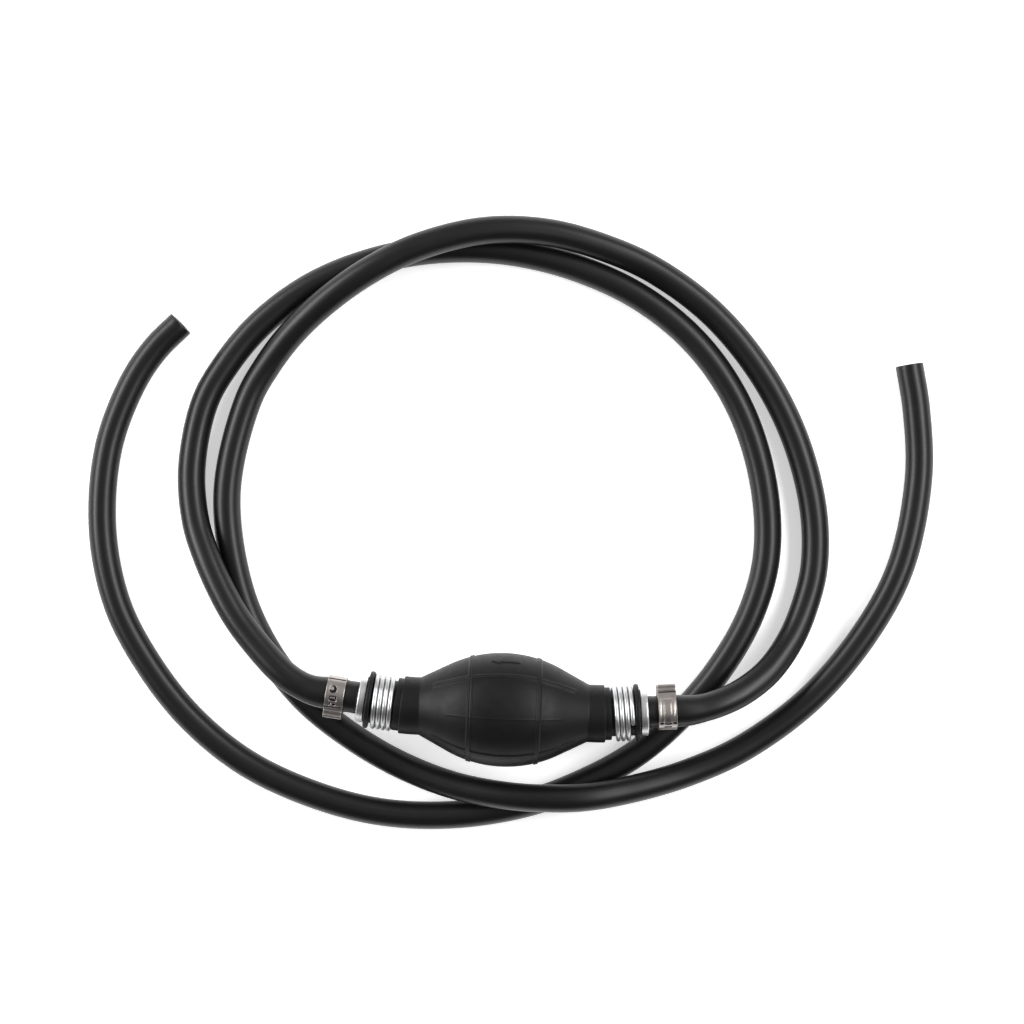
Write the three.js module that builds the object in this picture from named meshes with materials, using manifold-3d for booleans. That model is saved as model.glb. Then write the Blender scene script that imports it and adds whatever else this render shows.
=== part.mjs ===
// A squeeze-bulb siphon pump: a moulded rubber bulb, two turned hose tails with a one-way valve in
// each, two wire neck clamps, two ear clamps and two lengths of black hose.
// Millimetres, +Z up. The bulb lies along X with its inlet at +X and its outlet at -X, and the
// origin is on the resting surface under the middle of the bulb. Liquid moves from +X to -X.
import * as THREE from "three";
import { mergeVertices } from "three/addons/utils/BufferGeometryUtils.js";
import Module from "manifold-3d";

const wasm = await Module();
wasm.setup();

// ---- driving dimensions -------------------------------------------------------------------

const GAP = 0.3; // between pieces that touch
const BULB_R = 24.4; // widest radius of the bulb, which is also the height of its axis
const BULB_ARC_R = 52.5; // radius of the bulb's outline along its middle
const SHOULDER_X = 24.5; // where the rounded middle turns into the straight cone
const COLLAR_R = 12.35;
const COLLAR_X = 36.1; // inner end of the collar
const NECK_X = 44; // collar to neck
const NECK_R = 11.3;
const GROOVE_X = 46.8; // neck to the groove that the wire clamp sits in
const GROOVE_R = 9.8;
const BEAD_X = 57; // groove to the bead at the mouth
const BEAD_R = 12.25;
const MOUTH_X = 59.1; // outer face of the bead
const INLET_SHORT = 0.9; // the inlet's neck is this much shorter than the outlet's
const BEAD_CHAMFER = 0.8;
const WALL = 2.6; // rubber wall of the bulb
const BORE_R = 8; // bore of the neck

const RING_RIB_X = 14.6; // the two raised rings
const RING_RIB_WIDTH = 2;
const RIB_HEIGHT = 0.5;
const LONG_RIB_WIDTH = 1.8;
const LONG_RIB_X = 31; // the four lengthwise ribs end here
const LONG_RIB_ANGLES = [45, 135, 225, 315];
const BULB_ROLL = 4.7; // degrees that the moulding lies rolled about its axis, its top towards -Y

const CROWN_HALF_LENGTH = 21; // the part of the crown that a thumb pushes in
const CROWN_HALF_WIDTH = 14;

const INLET_BEND = 4.8; // degrees that each neck leans towards +Y
const OUTLET_BEND = 6.4;
const BEND_START = 38;
const BEND_END = 46;
const BEND_MIDDLE = (BEND_START + BEND_END) / 2;

const FLANGE_THICKNESS = 3.3;
const FLANGE_R = 10;
const TURNED_CHAMFER = 0.5;
const BARREL_LENGTH = 14; // the stretch of the hose tail inside the neck
const BARREL_R = 7.7;
const GRIP_DEPTH = 0.5; // grooves round the barrel that the rubber is squeezed into
const GRIP_STARTS = [4, 8]; // how far along the barrel they are
const BARREL_BORE_R = 6;
const SHOULDER_THICKNESS = 1.9; // wall between the barrel and the tail, behind the valve
const TAIL_END_X = 77;
const TAIL_ROOT_R = 4;
const BARB_R = 4.8;
const BARB_PITCH = 4.4;
const BARBS = 3;
const BARB_SLOPE = 0.8; // share of the pitch that is the slope of the barb
const TAIL_BORE_R = 2.7;

const WIRE_R = 0.92;
const COIL_PITCH = 2.25;
const COIL_TURNS = 3.6;
const INLET_COIL_START = 194; // degrees from straight up, towards the end's own +Y
const OUTLET_COIL_START = 110;

const HOSE_R = 6;
const CUFF_R = 6.85; // the hose where it is stretched over the barbs
const CUFF_TAPER = 4;
const HOSE_LEAD = 3; // the hose leaves its tail straight for this far
const CLAMP_WIDTH = 8;
const CLAMP_THICKNESS = 0.7;
const INLET_CLAMP_X = 71;
const OUTLET_CLAMP_X = 72.6;
const EAR_ANGLE = 90; // from straight down: the inlet's ear points to +Y, the outlet's to -Y
const EAR_WIDTH = 6.4;
const INLET_EAR_HEIGHT = 3.8;
const OUTLET_EAR_HEIGHT = 2.8;

const CARTRIDGE_LENGTH = 11.6;
const CARTRIDGE_R = 5.7;
const CARTRIDGE_BORE_R = 4.9;
const SEAT_THICKNESS = 1.6;
const SEAT_HOLE_R = 2.4;
const SEAL_INNER_R = 2.9;
const SEAL_OUTER_R = 4.5;
const SEAL_THICKNESS = 1;
const SEAL_CHAMFER = 0.25;
const POPPET_R = 4;
const POPPET_THICKNESS = 1.2;
const POPPET_NOSE = 0.9;
const POPPET_CHAMFER = 0.3;
const STEM_R = 0.9;
const STEM_LENGTH = 6.4;
const STEM_TIP = 0.5;
const SPRING_R = 2.1;
const SPRING_WIRE_R = 0.25;
const SPRING_TURNS = 4;
const CAGE_THICKNESS = 1.8;
const CAGE_R = 4.6;
const CAGE_HUB_R = 1.2;
const CAGE_PORT_R = 0.95;
const CAGE_PORT_CIRCLE_R = 2.9;
const CAGE_PORTS = 5;

const LATHE_STEPS = 36;
const SMALL_LATHE_STEPS = 24; // smaller turned pieces
const BULB_ARC_STEPS = 6;
const LONG_RIB_STEPS = 12;
const COIL_SIDES = 8;
const COIL_STEPS_PER_TURN = 14;
const SPRING_SIDES = 6;
const SPRING_STEPS_PER_TURN = 12;
const EAR_CLAMP_STEPS = 20;
const CROWN_STEPS = 32;
const PORT_SIDES = 12;
const HOSE_SIDES = 12;
const HOSE_STEP = 24;

// Middle lines of the hoses past their hose tails: x, y and height of the hose's centre. Where one
// hose crosses the other it rides over it in a long low hump.
const OUTLET_ROUTE = [
  [-84.5, 5.4, 24.3], [-91.2, 8.5, 24], [-97.6, 13.2, 23.2], [-107.4, 22.8, 21], [-116.4, 33.2, 18.9],
  [-123.5, 44, 17], [-131.6, 59.3, 14], [-137.8, 75, 10.2], [-141, 98, 6.7], [-136.7, 126.9, 6.1],
  [-127.6, 144.7, 6.1], [-113.7, 162.6, 6.1], [-92.8, 179.6, 6.1], [-68, 191.3, 6.1], [-40, 198, 6.1],
  [-9, 199, 6.1], [22, 193.4, 6.1], [52.8, 180.7, 6.1], [78.8, 160.7, 6.1], [98, 134, 6.1],
  [109.3, 102, 6.1], [112, 71, 6.1], [106.2, 45, 6.1], [94, 21, 6.1], [78, 0, 6.1],
  [59, -18, 6.1], [36, -32, 6.1], [12, -42, 6.1], [-20, -48.5, 6.1], [-53, -48.5, 6.1],
  [-84, -41.5, 6.1], [-113, -29, 6.1], [-138, -10, 6.1], [-158, 14, 6.1], [-171.4, 38, 6.1],
  [-179, 70, 6.1], [-177.8, 106, 6.1], [-168.2, 135, 6.1], [-158.8, 150.2, 6.1], [-148.6, 161.2, 6.1],
];
const INLET_ROUTE = [
  [84, 4, 24.2], [92, 6.6, 23.3], [102.5, 11.8, 20.6], [114, 21, 15.8], [123.5, 34.5, 10.2],
  [129.5, 49.5, 7], [133, 67, 6.2], [131.5, 92, 6.1], [122, 123, 6.1], [106, 151, 6.1],
  [84, 175.4, 6.3], [59, 192.4, 7.6], [38, 200.9, 10.2], [10, 207, 14], [-18, 206.1, 17.2],
  [-46, 197.7, 18.6], [-66, 186.9, 18.4], [-84, 173.5, 15.9], [-99, 159, 11.4], [-110, 144, 7.7],
  [-118, 128, 6.3], [-125.2, 88, 6.1], [-118, 47, 6.1], [-104.8, 20.2, 6.1], [-87.4, -0.4, 6.1],
  [-66.7, -15.7, 6.2], [-44, -27.5, 7.5], [-20, -35, 12], [3, -37.8, 17], [20, -38, 18.9],
  [36, -37, 18.4], [57, -33, 13.6], [82, -25.2, 8.3], [106, -13.3, 6.3], [134.4, 9.7, 6.1],
  [157.3, 39.8, 6.1], [171, 69, 6.1], [177, 108, 6.1], [174.8, 137, 6.1], [170.8, 157, 6.1],
];

// ---- materials -----------------------------------------------------------------------------

const RUBBER = { color: 0x171717, roughness: 0.62, metalness: 0 };
const HOSE_RUBBER = { color: 0x121212, roughness: 0.42, metalness: 0 };
const ZINC_WIRE = { color: 0xc9cccd, roughness: 0.3, metalness: 1 };
const STAINLESS = { color: 0xb7aea8, roughness: 0.28, metalness: 1 };
const TURNED_METAL = { color: 0xc6c4c1, roughness: 0.35, metalness: 1 };
const ACETAL = { color: 0xe6e3da, roughness: 0.5, metalness: 0 };
const NITRILE = { color: 0x2a2522, roughness: 0.7, metalness: 0 };
const SPRING_STEEL = { color: 0xa9adb0, roughness: 0.3, metalness: 1 };

// ---- joining, cutting and placing --------------------------------------------------------------

function solid(geometry) {
  const bare = geometry.clone();
  bare.deleteAttribute("normal");
  bare.deleteAttribute("uv");
  const merged = mergeVertices(bare, 1e-4);
  return new wasm.Manifold(
    new wasm.Mesh({
      numProp: 3,
      vertProperties: new Float32Array(merged.attributes.position.array),
      triVerts: new Uint32Array(merged.index.array),
    }),
  );
}

function geometryOf(manifold) {
  const mesh = manifold.getMesh();
  const geometry = new THREE.BufferGeometry();
  geometry.setAttribute("position", new THREE.BufferAttribute(mesh.vertProperties, 3));
  geometry.setIndex(new THREE.BufferAttribute(mesh.triVerts, 1));
  return geometry;
}

function named(name, geometry, finish) {
  const shaded = geometry.index ? geometry.toNonIndexed() : geometry;
  shaded.computeVertexNormals();
  const mesh = new THREE.Mesh(shaded, new THREE.MeshStandardMaterial(finish));
  mesh.name = name;
  return mesh;
}

// A profile of [x, radius] points turned about the X axis. The points run from low x to high x
// along the outside, and back along the inside where there is a bore.
function turned(profile, steps = LATHE_STEPS) {
  const points = profile.map(([x, r]) => new THREE.Vector2(r, x));
  points.push(points[0].clone());
  const geometry = new THREE.LatheGeometry(points, steps);
  geometry.rotateZ(-Math.PI / 2);
  return geometry;
}

// A tube or wire of one section along a curve.
function swept(curve, radius, sides, steps) {
  const section = new THREE.Shape();
  section.absarc(0, 0, radius, 0, 2 * Math.PI);
  return new THREE.ExtrudeGeometry(section, {
    steps,
    curveSegments: sides / 2,
    bevelEnabled: false,
    extrudePath: curve,
  });
}

// A round-bar helix about the X axis.
class Helix extends THREE.Curve {
  constructor(radius, pitch, turns, startAngle) {
    super();
    Object.assign(this, { radius, pitch, turns, startAngle });
  }

  getPoint(t, target = new THREE.Vector3()) {
    const angle = this.startAngle + 2 * Math.PI * this.turns * t;
    return target.set(
      this.pitch * this.turns * t,
      this.radius * Math.sin(angle),
      this.radius * Math.cos(angle),
    );
  }
}

function bendOf(side) {
  return THREE.MathUtils.degToRad(side > 0 ? INLET_BEND : OUTLET_BEND);
}

// Moves a point of the straight bulb to its place on the leaning necks.
function leanPoint(point) {
  const side = Math.sign(point.x);
  const bend = bendOf(side);
  const radius = (BEND_END - BEND_START) / bend;
  const along = Math.abs(point.x);
  if (along <= BEND_START) return;
  const angle = Math.min((along - BEND_START) / radius, bend);
  const past = Math.max(along - BEND_END, 0);
  const reach = radius - point.y;
  const x = BEND_START + reach * Math.sin(angle) + past * Math.cos(angle);
  point.y = radius - reach * Math.cos(angle) + past * Math.sin(angle);
  point.x = side * x;
}

// The frame of one leaning end: its X axis runs outwards along the neck, and x = 0 is where the
// neck's own axis would reach the middle of the bulb.
function endGroup(side) {
  const bend = bendOf(side);
  const start = new THREE.Vector3(side * BEND_END, 0, 0);
  leanPoint(start);
  const back = side > 0 ? BEND_END + INLET_SHORT : BEND_END;
  const group = new THREE.Group();
  group.rotation.z = side > 0 ? bend : Math.PI - bend;
  group.position.set(
    start.x - side * back * Math.cos(bend),
    start.y - back * Math.sin(bend),
    BULB_R,
  );
  return group;
}

// ---- the rubber bulb -----------------------------------------------------------------------

function bulbRadius(x) {
  const drop = BULB_ARC_R - Math.sqrt(BULB_ARC_R ** 2 - Math.min(Math.abs(x), SHOULDER_X) ** 2);
  if (Math.abs(x) <= SHOULDER_X) return BULB_R - drop;
  const past = (Math.abs(x) - SHOULDER_X) / (COLLAR_X - SHOULDER_X);
  return THREE.MathUtils.lerp(BULB_R - drop, COLLAR_R, Math.min(past, 1));
}

// Outline of the bulb from its middle to one mouth, as [x, radius].
function outerOutline() {
  const points = [];
  for (let i = 0; i <= BULB_ARC_STEPS; i++) {
    const x = (SHOULDER_X * i) / BULB_ARC_STEPS;
    points.push([x, bulbRadius(x)]);
  }
  points.push([COLLAR_X, COLLAR_R], [BEND_START, COLLAR_R], [BEND_MIDDLE, COLLAR_R]);
  points.push([NECK_X, COLLAR_R], [NECK_X, NECK_R], [BEND_END, NECK_R], [GROOVE_X, NECK_R]);
  points.push([GROOVE_X, GROOVE_R], [BEAD_X, GROOVE_R]);
  points.push([BEAD_X + BEAD_CHAMFER, BEAD_R], [MOUTH_X - BEAD_CHAMFER, BEAD_R]);
  points.push([MOUTH_X, BEAD_R - BEAD_CHAMFER]);
  return points;
}

function innerOutline() {
  const points = [];
  for (let i = 0; i <= BULB_ARC_STEPS; i++) {
    const x = (SHOULDER_X * i) / BULB_ARC_STEPS;
    points.push([x, bulbRadius(x) - WALL]);
  }
  points.push([COLLAR_X, BORE_R], [BEND_START, BORE_R], [BEND_MIDDLE, BORE_R]);
  points.push([BEND_END, BORE_R], [MOUTH_X, BORE_R]);
  return points;
}

// The same outline on both sides, with the inlet's neck shortened.
function bothSides(half) {
  const outlet = half.slice(1).map(([x, r]) => [-x, r]);
  const inlet = half.map(([x, r]) => {
    const along = THREE.MathUtils.inverseLerp(COLLAR_X, GROOVE_X, x);
    return [x - INLET_SHORT * THREE.MathUtils.clamp(along, 0, 1), r];
  });
  return [...outlet.reverse(), ...inlet];
}

function ringRib(x) {
  const low = x - RING_RIB_WIDTH / 2;
  const high = x + RING_RIB_WIDTH / 2;
  const sunk = WALL / 2;
  return turned([
    [low, bulbRadius(low) - sunk],
    [low, bulbRadius(low)],
    [x, bulbRadius(x) + RIB_HEIGHT],
    [high, bulbRadius(high)],
    [high, bulbRadius(high) - sunk],
  ]);
}

// One lengthwise rib: a thin band that follows the outline, turned to its angle about the axis.
function longRib(degrees) {
  const shape = new THREE.Shape();
  const top = [];
  for (let i = 0; i <= LONG_RIB_STEPS; i++) {
    const x = THREE.MathUtils.lerp(-LONG_RIB_X, LONG_RIB_X, i / LONG_RIB_STEPS);
    top.push([x, bulbRadius(x)]);
  }
  shape.moveTo(top[0][0], top[0][1] - WALL / 2);
  top.forEach(([x, r], i) => {
    const raised = i === 0 || i === LONG_RIB_STEPS ? 0 : RIB_HEIGHT;
    shape.lineTo(x, r + raised);
  });
  for (const [x, r] of top.reverse()) shape.lineTo(x, r - WALL / 2);
  const rib = new THREE.ExtrudeGeometry(shape, {
    depth: LONG_RIB_WIDTH,
    steps: 1,
    bevelEnabled: false,
  });
  rib.translate(0, 0, -LONG_RIB_WIDTH / 2);
  rib.rotateX(THREE.MathUtils.degToRad(degrees + BULB_ROLL));
  return rib;
}

function bulbShell() {
  const profile = [...bothSides(outerOutline()), ...bothSides(innerOutline()).reverse()];
  let shell = solid(turned(profile));
  for (const x of [-RING_RIB_X, RING_RIB_X]) shell = shell.add(solid(ringRib(x)));
  for (const angle of LONG_RIB_ANGLES) shell = shell.add(solid(longRib(angle)));
  return shell;
}

// An upright oval prism over the crown of the bulb.
function crownPrism(halfLength, halfWidth) {
  const oval = new THREE.Shape();
  oval.absellipse(0, 0, halfLength, halfWidth, 0, 2 * Math.PI);
  return solid(
    new THREE.ExtrudeGeometry(oval, {
      depth: 2 * BULB_R,
      steps: 1,
      curveSegments: CROWN_STEPS,
      bevelEnabled: false,
    }),
  );
}

function leaned(geometry) {
  const position = geometry.getAttribute("position");
  const point = new THREE.Vector3();
  for (let i = 0; i < position.count; i++) {
    point.fromBufferAttribute(position, i);
    leanPoint(point);
    position.setXYZ(i, point.x, point.y, point.z);
  }
  return geometry;
}

function bulb() {
  const hole = crownPrism(CROWN_HALF_LENGTH + GAP, CROWN_HALF_WIDTH + GAP);
  const mesh = named("bulb", leaned(geometryOf(bulbShell().subtract(hole))), RUBBER);
  mesh.position.z = BULB_R;
  return mesh;
}

function bulbCrown() {
  const patch = bulbShell().intersect(crownPrism(CROWN_HALF_LENGTH, CROWN_HALF_WIDTH));
  const mesh = named("bulb_crown", geometryOf(patch), RUBBER);
  mesh.position.z = BULB_R;
  return mesh;
}

// ---- the hose tail, its valve and what holds it ---------------------------------------------

function hoseTail(name) {
  const barrelStart = MOUTH_X + GAP - BARREL_LENGTH;
  const flangeStart = MOUTH_X + GAP;
  const flangeEnd = flangeStart + FLANGE_THICKNESS;
  const shoulder = flangeStart - SHOULDER_THICKNESS;
  const edge = TURNED_CHAMFER;
  const profile = [[barrelStart, BARREL_R - edge], [barrelStart + edge, BARREL_R]];
  for (const start of GRIP_STARTS) {
    const x = barrelStart + start;
    const bottom = [x + GRIP_DEPTH, BARREL_R - GRIP_DEPTH];
    profile.push([x, BARREL_R], bottom, [x + 2 * GRIP_DEPTH, BARREL_R]);
  }
  profile.push([flangeStart, BARREL_R], [flangeStart, FLANGE_R - edge]);
  profile.push([flangeStart + edge, FLANGE_R], [flangeEnd - edge, FLANGE_R]);
  profile.push([flangeEnd, FLANGE_R - edge], [flangeEnd, TAIL_ROOT_R]);
  for (let i = BARBS; i >= 1; i--) {
    const crest = TAIL_END_X - i * BARB_PITCH;
    const foot = crest + BARB_PITCH * BARB_SLOPE;
    profile.push([crest, TAIL_ROOT_R], [crest, BARB_R], [foot, TAIL_ROOT_R]);
  }
  profile.push([TAIL_END_X, TAIL_ROOT_R - edge], [TAIL_END_X, TAIL_BORE_R]);
  profile.push([shoulder, TAIL_BORE_R], [shoulder, BARREL_BORE_R], [barrelStart, BARREL_BORE_R]);
  return named(name, turned(profile, SMALL_LATHE_STEPS), TURNED_METAL);
}

// Both clamps are wound as a right-hand screw, so their angle falls as the wire runs outwards.
function wireClamp(name, startDegrees) {
  const radius = GROOVE_R + GAP + WIRE_R;
  const length = COIL_TURNS * COIL_PITCH;
  const start = THREE.MathUtils.degToRad(startDegrees);
  const curve = new Helix(radius, -COIL_PITCH, -COIL_TURNS, start);
  const steps = Math.round(COIL_TURNS * COIL_STEPS_PER_TURN);
  const coil = swept(curve, WIRE_R, COIL_SIDES, steps);
  coil.translate((GROOVE_X + BEAD_X - length) / 2, 0, 0);
  return named(name, coil, ZINC_WIRE);
}

// The band is a ring open under its ear, and the ear is a hollow loop pinched up from it.
function earOutline(height, offset) {
  const ring = CUFF_R + GAP + offset;
  const half = EAR_WIDTH / 2 - CLAMP_THICKNESS + offset;
  const top = CUFF_R + GAP + height + offset;
  const foot = Math.asin(half / ring);
  const outline = new THREE.Path();
  outline.absarc(0, 0, ring, foot, 2 * Math.PI - foot, false);
  outline.lineTo(top, -half);
  outline.lineTo(top, half);
  outline.closePath();
  return outline;
}

function earClamp(name, x, height) {
  const band = new THREE.Shape(earOutline(height, CLAMP_THICKNESS).getPoints(EAR_CLAMP_STEPS));
  band.holes.push(earOutline(height, 0));
  const clamp = new THREE.ExtrudeGeometry(band, {
    depth: CLAMP_WIDTH,
    steps: 1,
    curveSegments: EAR_CLAMP_STEPS,
    bevelEnabled: false,
  });
  clamp.translate(0, 0, -CLAMP_WIDTH / 2);
  clamp.rotateY(Math.PI / 2);
  clamp.rotateX(THREE.MathUtils.degToRad(EAR_ANGLE));
  clamp.translate(x, 0, 0);
  return named(name, clamp, STAINLESS);
}

// The valve lies along its own flow axis: x = 0 is the upstream face of its body.
function valveBody(name) {
  const profile = [
    [0, CARTRIDGE_R],
    [CARTRIDGE_LENGTH, CARTRIDGE_R],
    [CARTRIDGE_LENGTH, CARTRIDGE_BORE_R],
    [SEAT_THICKNESS, CARTRIDGE_BORE_R],
    [SEAT_THICKNESS, SEAT_HOLE_R],
    [0, SEAT_HOLE_R],
  ];
  return named(name, turned(profile, SMALL_LATHE_STEPS), ACETAL);
}

const SEAL_X = SEAT_THICKNESS + GAP;
const POPPET_X = SEAL_X + SEAL_THICKNESS + GAP;
const CAGE_X = CARTRIDGE_LENGTH - CAGE_THICKNESS;
const SPRING_X = POPPET_X + POPPET_THICKNESS + GAP;
const SPRING_LENGTH = CAGE_X - GAP - SPRING_X;

function sealRing(name) {
  const edge = SEAL_CHAMFER;
  const profile = [
    [SEAL_X, SEAL_OUTER_R - edge],
    [SEAL_X + edge, SEAL_OUTER_R],
    [SEAL_X + SEAL_THICKNESS - edge, SEAL_OUTER_R],
    [SEAL_X + SEAL_THICKNESS, SEAL_OUTER_R - edge],
    [SEAL_X + SEAL_THICKNESS, SEAL_INNER_R],
    [SEAL_X, SEAL_INNER_R],
  ];
  return named(name, turned(profile, SMALL_LATHE_STEPS), NITRILE);
}

function poppet(name) {
  const back = POPPET_X + POPPET_THICKNESS;
  const profile = [
    [POPPET_X - POPPET_NOSE, 0],
    [POPPET_X, STEM_R],
    [POPPET_X, POPPET_R - POPPET_CHAMFER],
    [POPPET_X + POPPET_CHAMFER, POPPET_R],
    [back, POPPET_R],
    [back, STEM_R],
    [back + STEM_LENGTH, STEM_R],
    [back + STEM_LENGTH + STEM_TIP, 0],
  ];
  return named(name, turned(profile, SMALL_LATHE_STEPS), ACETAL);
}

function valveSpring(name) {
  const length = SPRING_LENGTH - 2 * SPRING_WIRE_R;
  const curve = new Helix(SPRING_R, length / SPRING_TURNS, SPRING_TURNS, 0);
  const steps = SPRING_TURNS * SPRING_STEPS_PER_TURN;
  const spring = swept(curve, SPRING_WIRE_R, SPRING_SIDES, steps);
  spring.translate(SPRING_X + SPRING_WIRE_R, 0, 0);
  return named(name, spring, SPRING_STEEL);
}

function valveCage(name) {
  const edge = CAGE_X + CAGE_THICKNESS;
  const profile = [[CAGE_X, CAGE_R], [edge, CAGE_R], [edge, CAGE_HUB_R], [CAGE_X, CAGE_HUB_R]];
  let cage = solid(turned(profile, SMALL_LATHE_STEPS));
  const depth = 3 * CAGE_THICKNESS;
  const port = new THREE.CylinderGeometry(CAGE_PORT_R, CAGE_PORT_R, depth, PORT_SIDES);
  port.rotateZ(Math.PI / 2);
  port.translate(CAGE_X, CAGE_PORT_CIRCLE_R, 0);
  for (let i = 0; i < CAGE_PORTS; i++) {
    port.rotateX((2 * Math.PI) / CAGE_PORTS);
    cage = cage.subtract(solid(port));
  }
  return named(name, geometryOf(cage), ACETAL);
}

// The two valves are alike, and each is turned so that it opens towards the outlet.
function valve(prefix, opensOutwards) {
  const group = new THREE.Group();
  group.add(valveBody(`${prefix}_valve_body`));
  group.add(sealRing(`${prefix}_seal_ring`));
  group.add(poppet(`${prefix}_poppet`));
  group.add(valveSpring(`${prefix}_valve_spring`));
  group.add(valveCage(`${prefix}_valve_cage`));
  const innerFace = MOUTH_X + GAP - SHOULDER_THICKNESS - GAP - CARTRIDGE_LENGTH;
  group.position.x = opensOutwards ? innerFace : innerFace + CARTRIDGE_LENGTH;
  group.rotation.z = opensOutwards ? 0 : Math.PI;
  return group;
}

// ---- the hoses -----------------------------------------------------------------------------

function hoseCurve(end, route) {
  end.updateMatrixWorld(true);
  const first = TAIL_END_X + GAP;
  const points = [first, first + HOSE_LEAD].map((x) => new THREE.Vector3(x, 0, 0));
  points.forEach((point) => point.applyMatrix4(end.matrixWorld));
  points.push(...route.map(([x, y, z]) => new THREE.Vector3(x, y, z)));
  return new THREE.CatmullRomCurve3(points, false, "centripetal");
}

// The stretch over the barbs is a fatter cuff with a blind socket, and the rest is a plain rod.
function hose(name, end, route) {
  const start = MOUTH_X + GAP + FLANGE_THICKNESS + GAP;
  const closed = TAIL_END_X + GAP;
  const socketR = BARB_R + GAP;
  const cuff = turned([
    [start, socketR],
    [start, CUFF_R],
    [closed, CUFF_R],
    [closed + CUFF_TAPER, HOSE_R],
    [closed + CUFF_TAPER, 0],
    [closed, 0],
    [closed, socketR],
  ], SMALL_LATHE_STEPS);
  end.updateMatrixWorld(true);
  cuff.applyMatrix4(end.matrixWorld);
  const curve = hoseCurve(end, route);
  const steps = Math.round(curve.getLength() / HOSE_STEP);
  const rod = swept(curve, HOSE_R, HOSE_SIDES, steps);
  return named(name, geometryOf(solid(cuff).add(solid(rod))), HOSE_RUBBER);
}

// ---- the whole pump --------------------------------------------------------------------------

const inletEnd = endGroup(1);
inletEnd.add(hoseTail("inlet_hose_tail"));
inletEnd.add(wireClamp("inlet_wire_clamp", INLET_COIL_START));
inletEnd.add(earClamp("inlet_ear_clamp", INLET_CLAMP_X, INLET_EAR_HEIGHT));
inletEnd.add(valve("inlet", false));

const outletEnd = endGroup(-1);
outletEnd.add(hoseTail("outlet_hose_tail"));
outletEnd.add(wireClamp("outlet_wire_clamp", OUTLET_COIL_START));
outletEnd.add(earClamp("outlet_ear_clamp", OUTLET_CLAMP_X, OUTLET_EAR_HEIGHT));
outletEnd.add(valve("outlet", true));

const pump = new THREE.Group();
pump.add(bulb(), bulbCrown(), inletEnd, outletEnd);
pump.add(hose("inlet_hose", inletEnd, INLET_ROUTE));
pump.add(hose("outlet_hose", outletEnd, OUTLET_ROUTE));

export default pump;
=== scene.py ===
"""A squeeze-bulb siphon pump: a moulded rubber bulb, two turned hose tails with a one-way valve in
each, two wire neck clamps, two ear clamps and two lengths of black hose.

The classes hold their sizes in millimetres, in the part's own frame: +X towards the inlet, +Z up,
and the origin on the resting surface under the middle of the bulb. MM turns them into metres.
"""

import logging
import math
from dataclasses import dataclass
from enum import Enum
from typing import Iterable, Sequence

import bpy
import numpy as np
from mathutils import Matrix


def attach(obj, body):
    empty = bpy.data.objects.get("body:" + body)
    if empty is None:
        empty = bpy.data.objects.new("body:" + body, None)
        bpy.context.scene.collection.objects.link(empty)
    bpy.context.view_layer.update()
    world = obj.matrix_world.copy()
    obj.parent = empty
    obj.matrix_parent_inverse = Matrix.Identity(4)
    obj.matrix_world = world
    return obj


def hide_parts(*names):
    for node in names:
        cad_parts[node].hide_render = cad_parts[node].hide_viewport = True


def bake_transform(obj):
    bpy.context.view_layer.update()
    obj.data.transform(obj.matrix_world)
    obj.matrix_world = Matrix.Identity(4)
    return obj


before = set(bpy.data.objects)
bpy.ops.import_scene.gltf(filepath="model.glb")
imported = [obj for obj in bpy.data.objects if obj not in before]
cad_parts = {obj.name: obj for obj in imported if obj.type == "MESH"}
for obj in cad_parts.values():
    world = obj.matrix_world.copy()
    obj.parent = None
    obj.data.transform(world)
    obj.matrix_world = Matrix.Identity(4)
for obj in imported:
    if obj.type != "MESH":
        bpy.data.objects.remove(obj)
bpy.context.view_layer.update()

LOG = logging.getLogger("siphon_pump")
MM = 0.001
WELD_GAP = 0.004
STRAIGHT_TURN = 0.02
TRIM_SHARE = 0.48
WIRE_END = ((0.0, 0.04), (0.0, 0.8), (0.1, 0.94), (0.25, 1.0))
Colour = tuple[float, float, float]
Profile = Sequence[tuple[float, float]]


class End(Enum):
    """The two ends of the pump, by the side of the bulb that each is on."""

    INLET = 1
    OUTLET = -1

    @property
    def prefix(self) -> str:
        """First word of the names of this end's pieces."""
        return self.name.lower()


class EarFace(Enum):
    """What is pressed into the face of an ear clamp's band."""

    HOOKS = "hooks"
    CHANNEL = "channel"


# ---- surfaces ----------------------------------------------------------------------------------


@dataclass
class Surface:
    """Points in millimetres, faces of four corners with a material slot each, and texture
    coordinates at each corner of each face.
    """

    points: np.ndarray
    corners: np.ndarray
    uvs: np.ndarray
    slots: np.ndarray

    def joined(self, other: "Surface") -> "Surface":
        """Both surfaces as one.

        Args:
            other: the surface to add.

        Returns:
            A new surface that holds both.
        """
        return Surface(
            np.vstack([self.points, other.points]),
            np.vstack([self.corners, other.corners + len(self.points)]),
            np.vstack([self.uvs, other.uvs]),
            np.concatenate([self.slots, other.slots]),
        )


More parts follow.
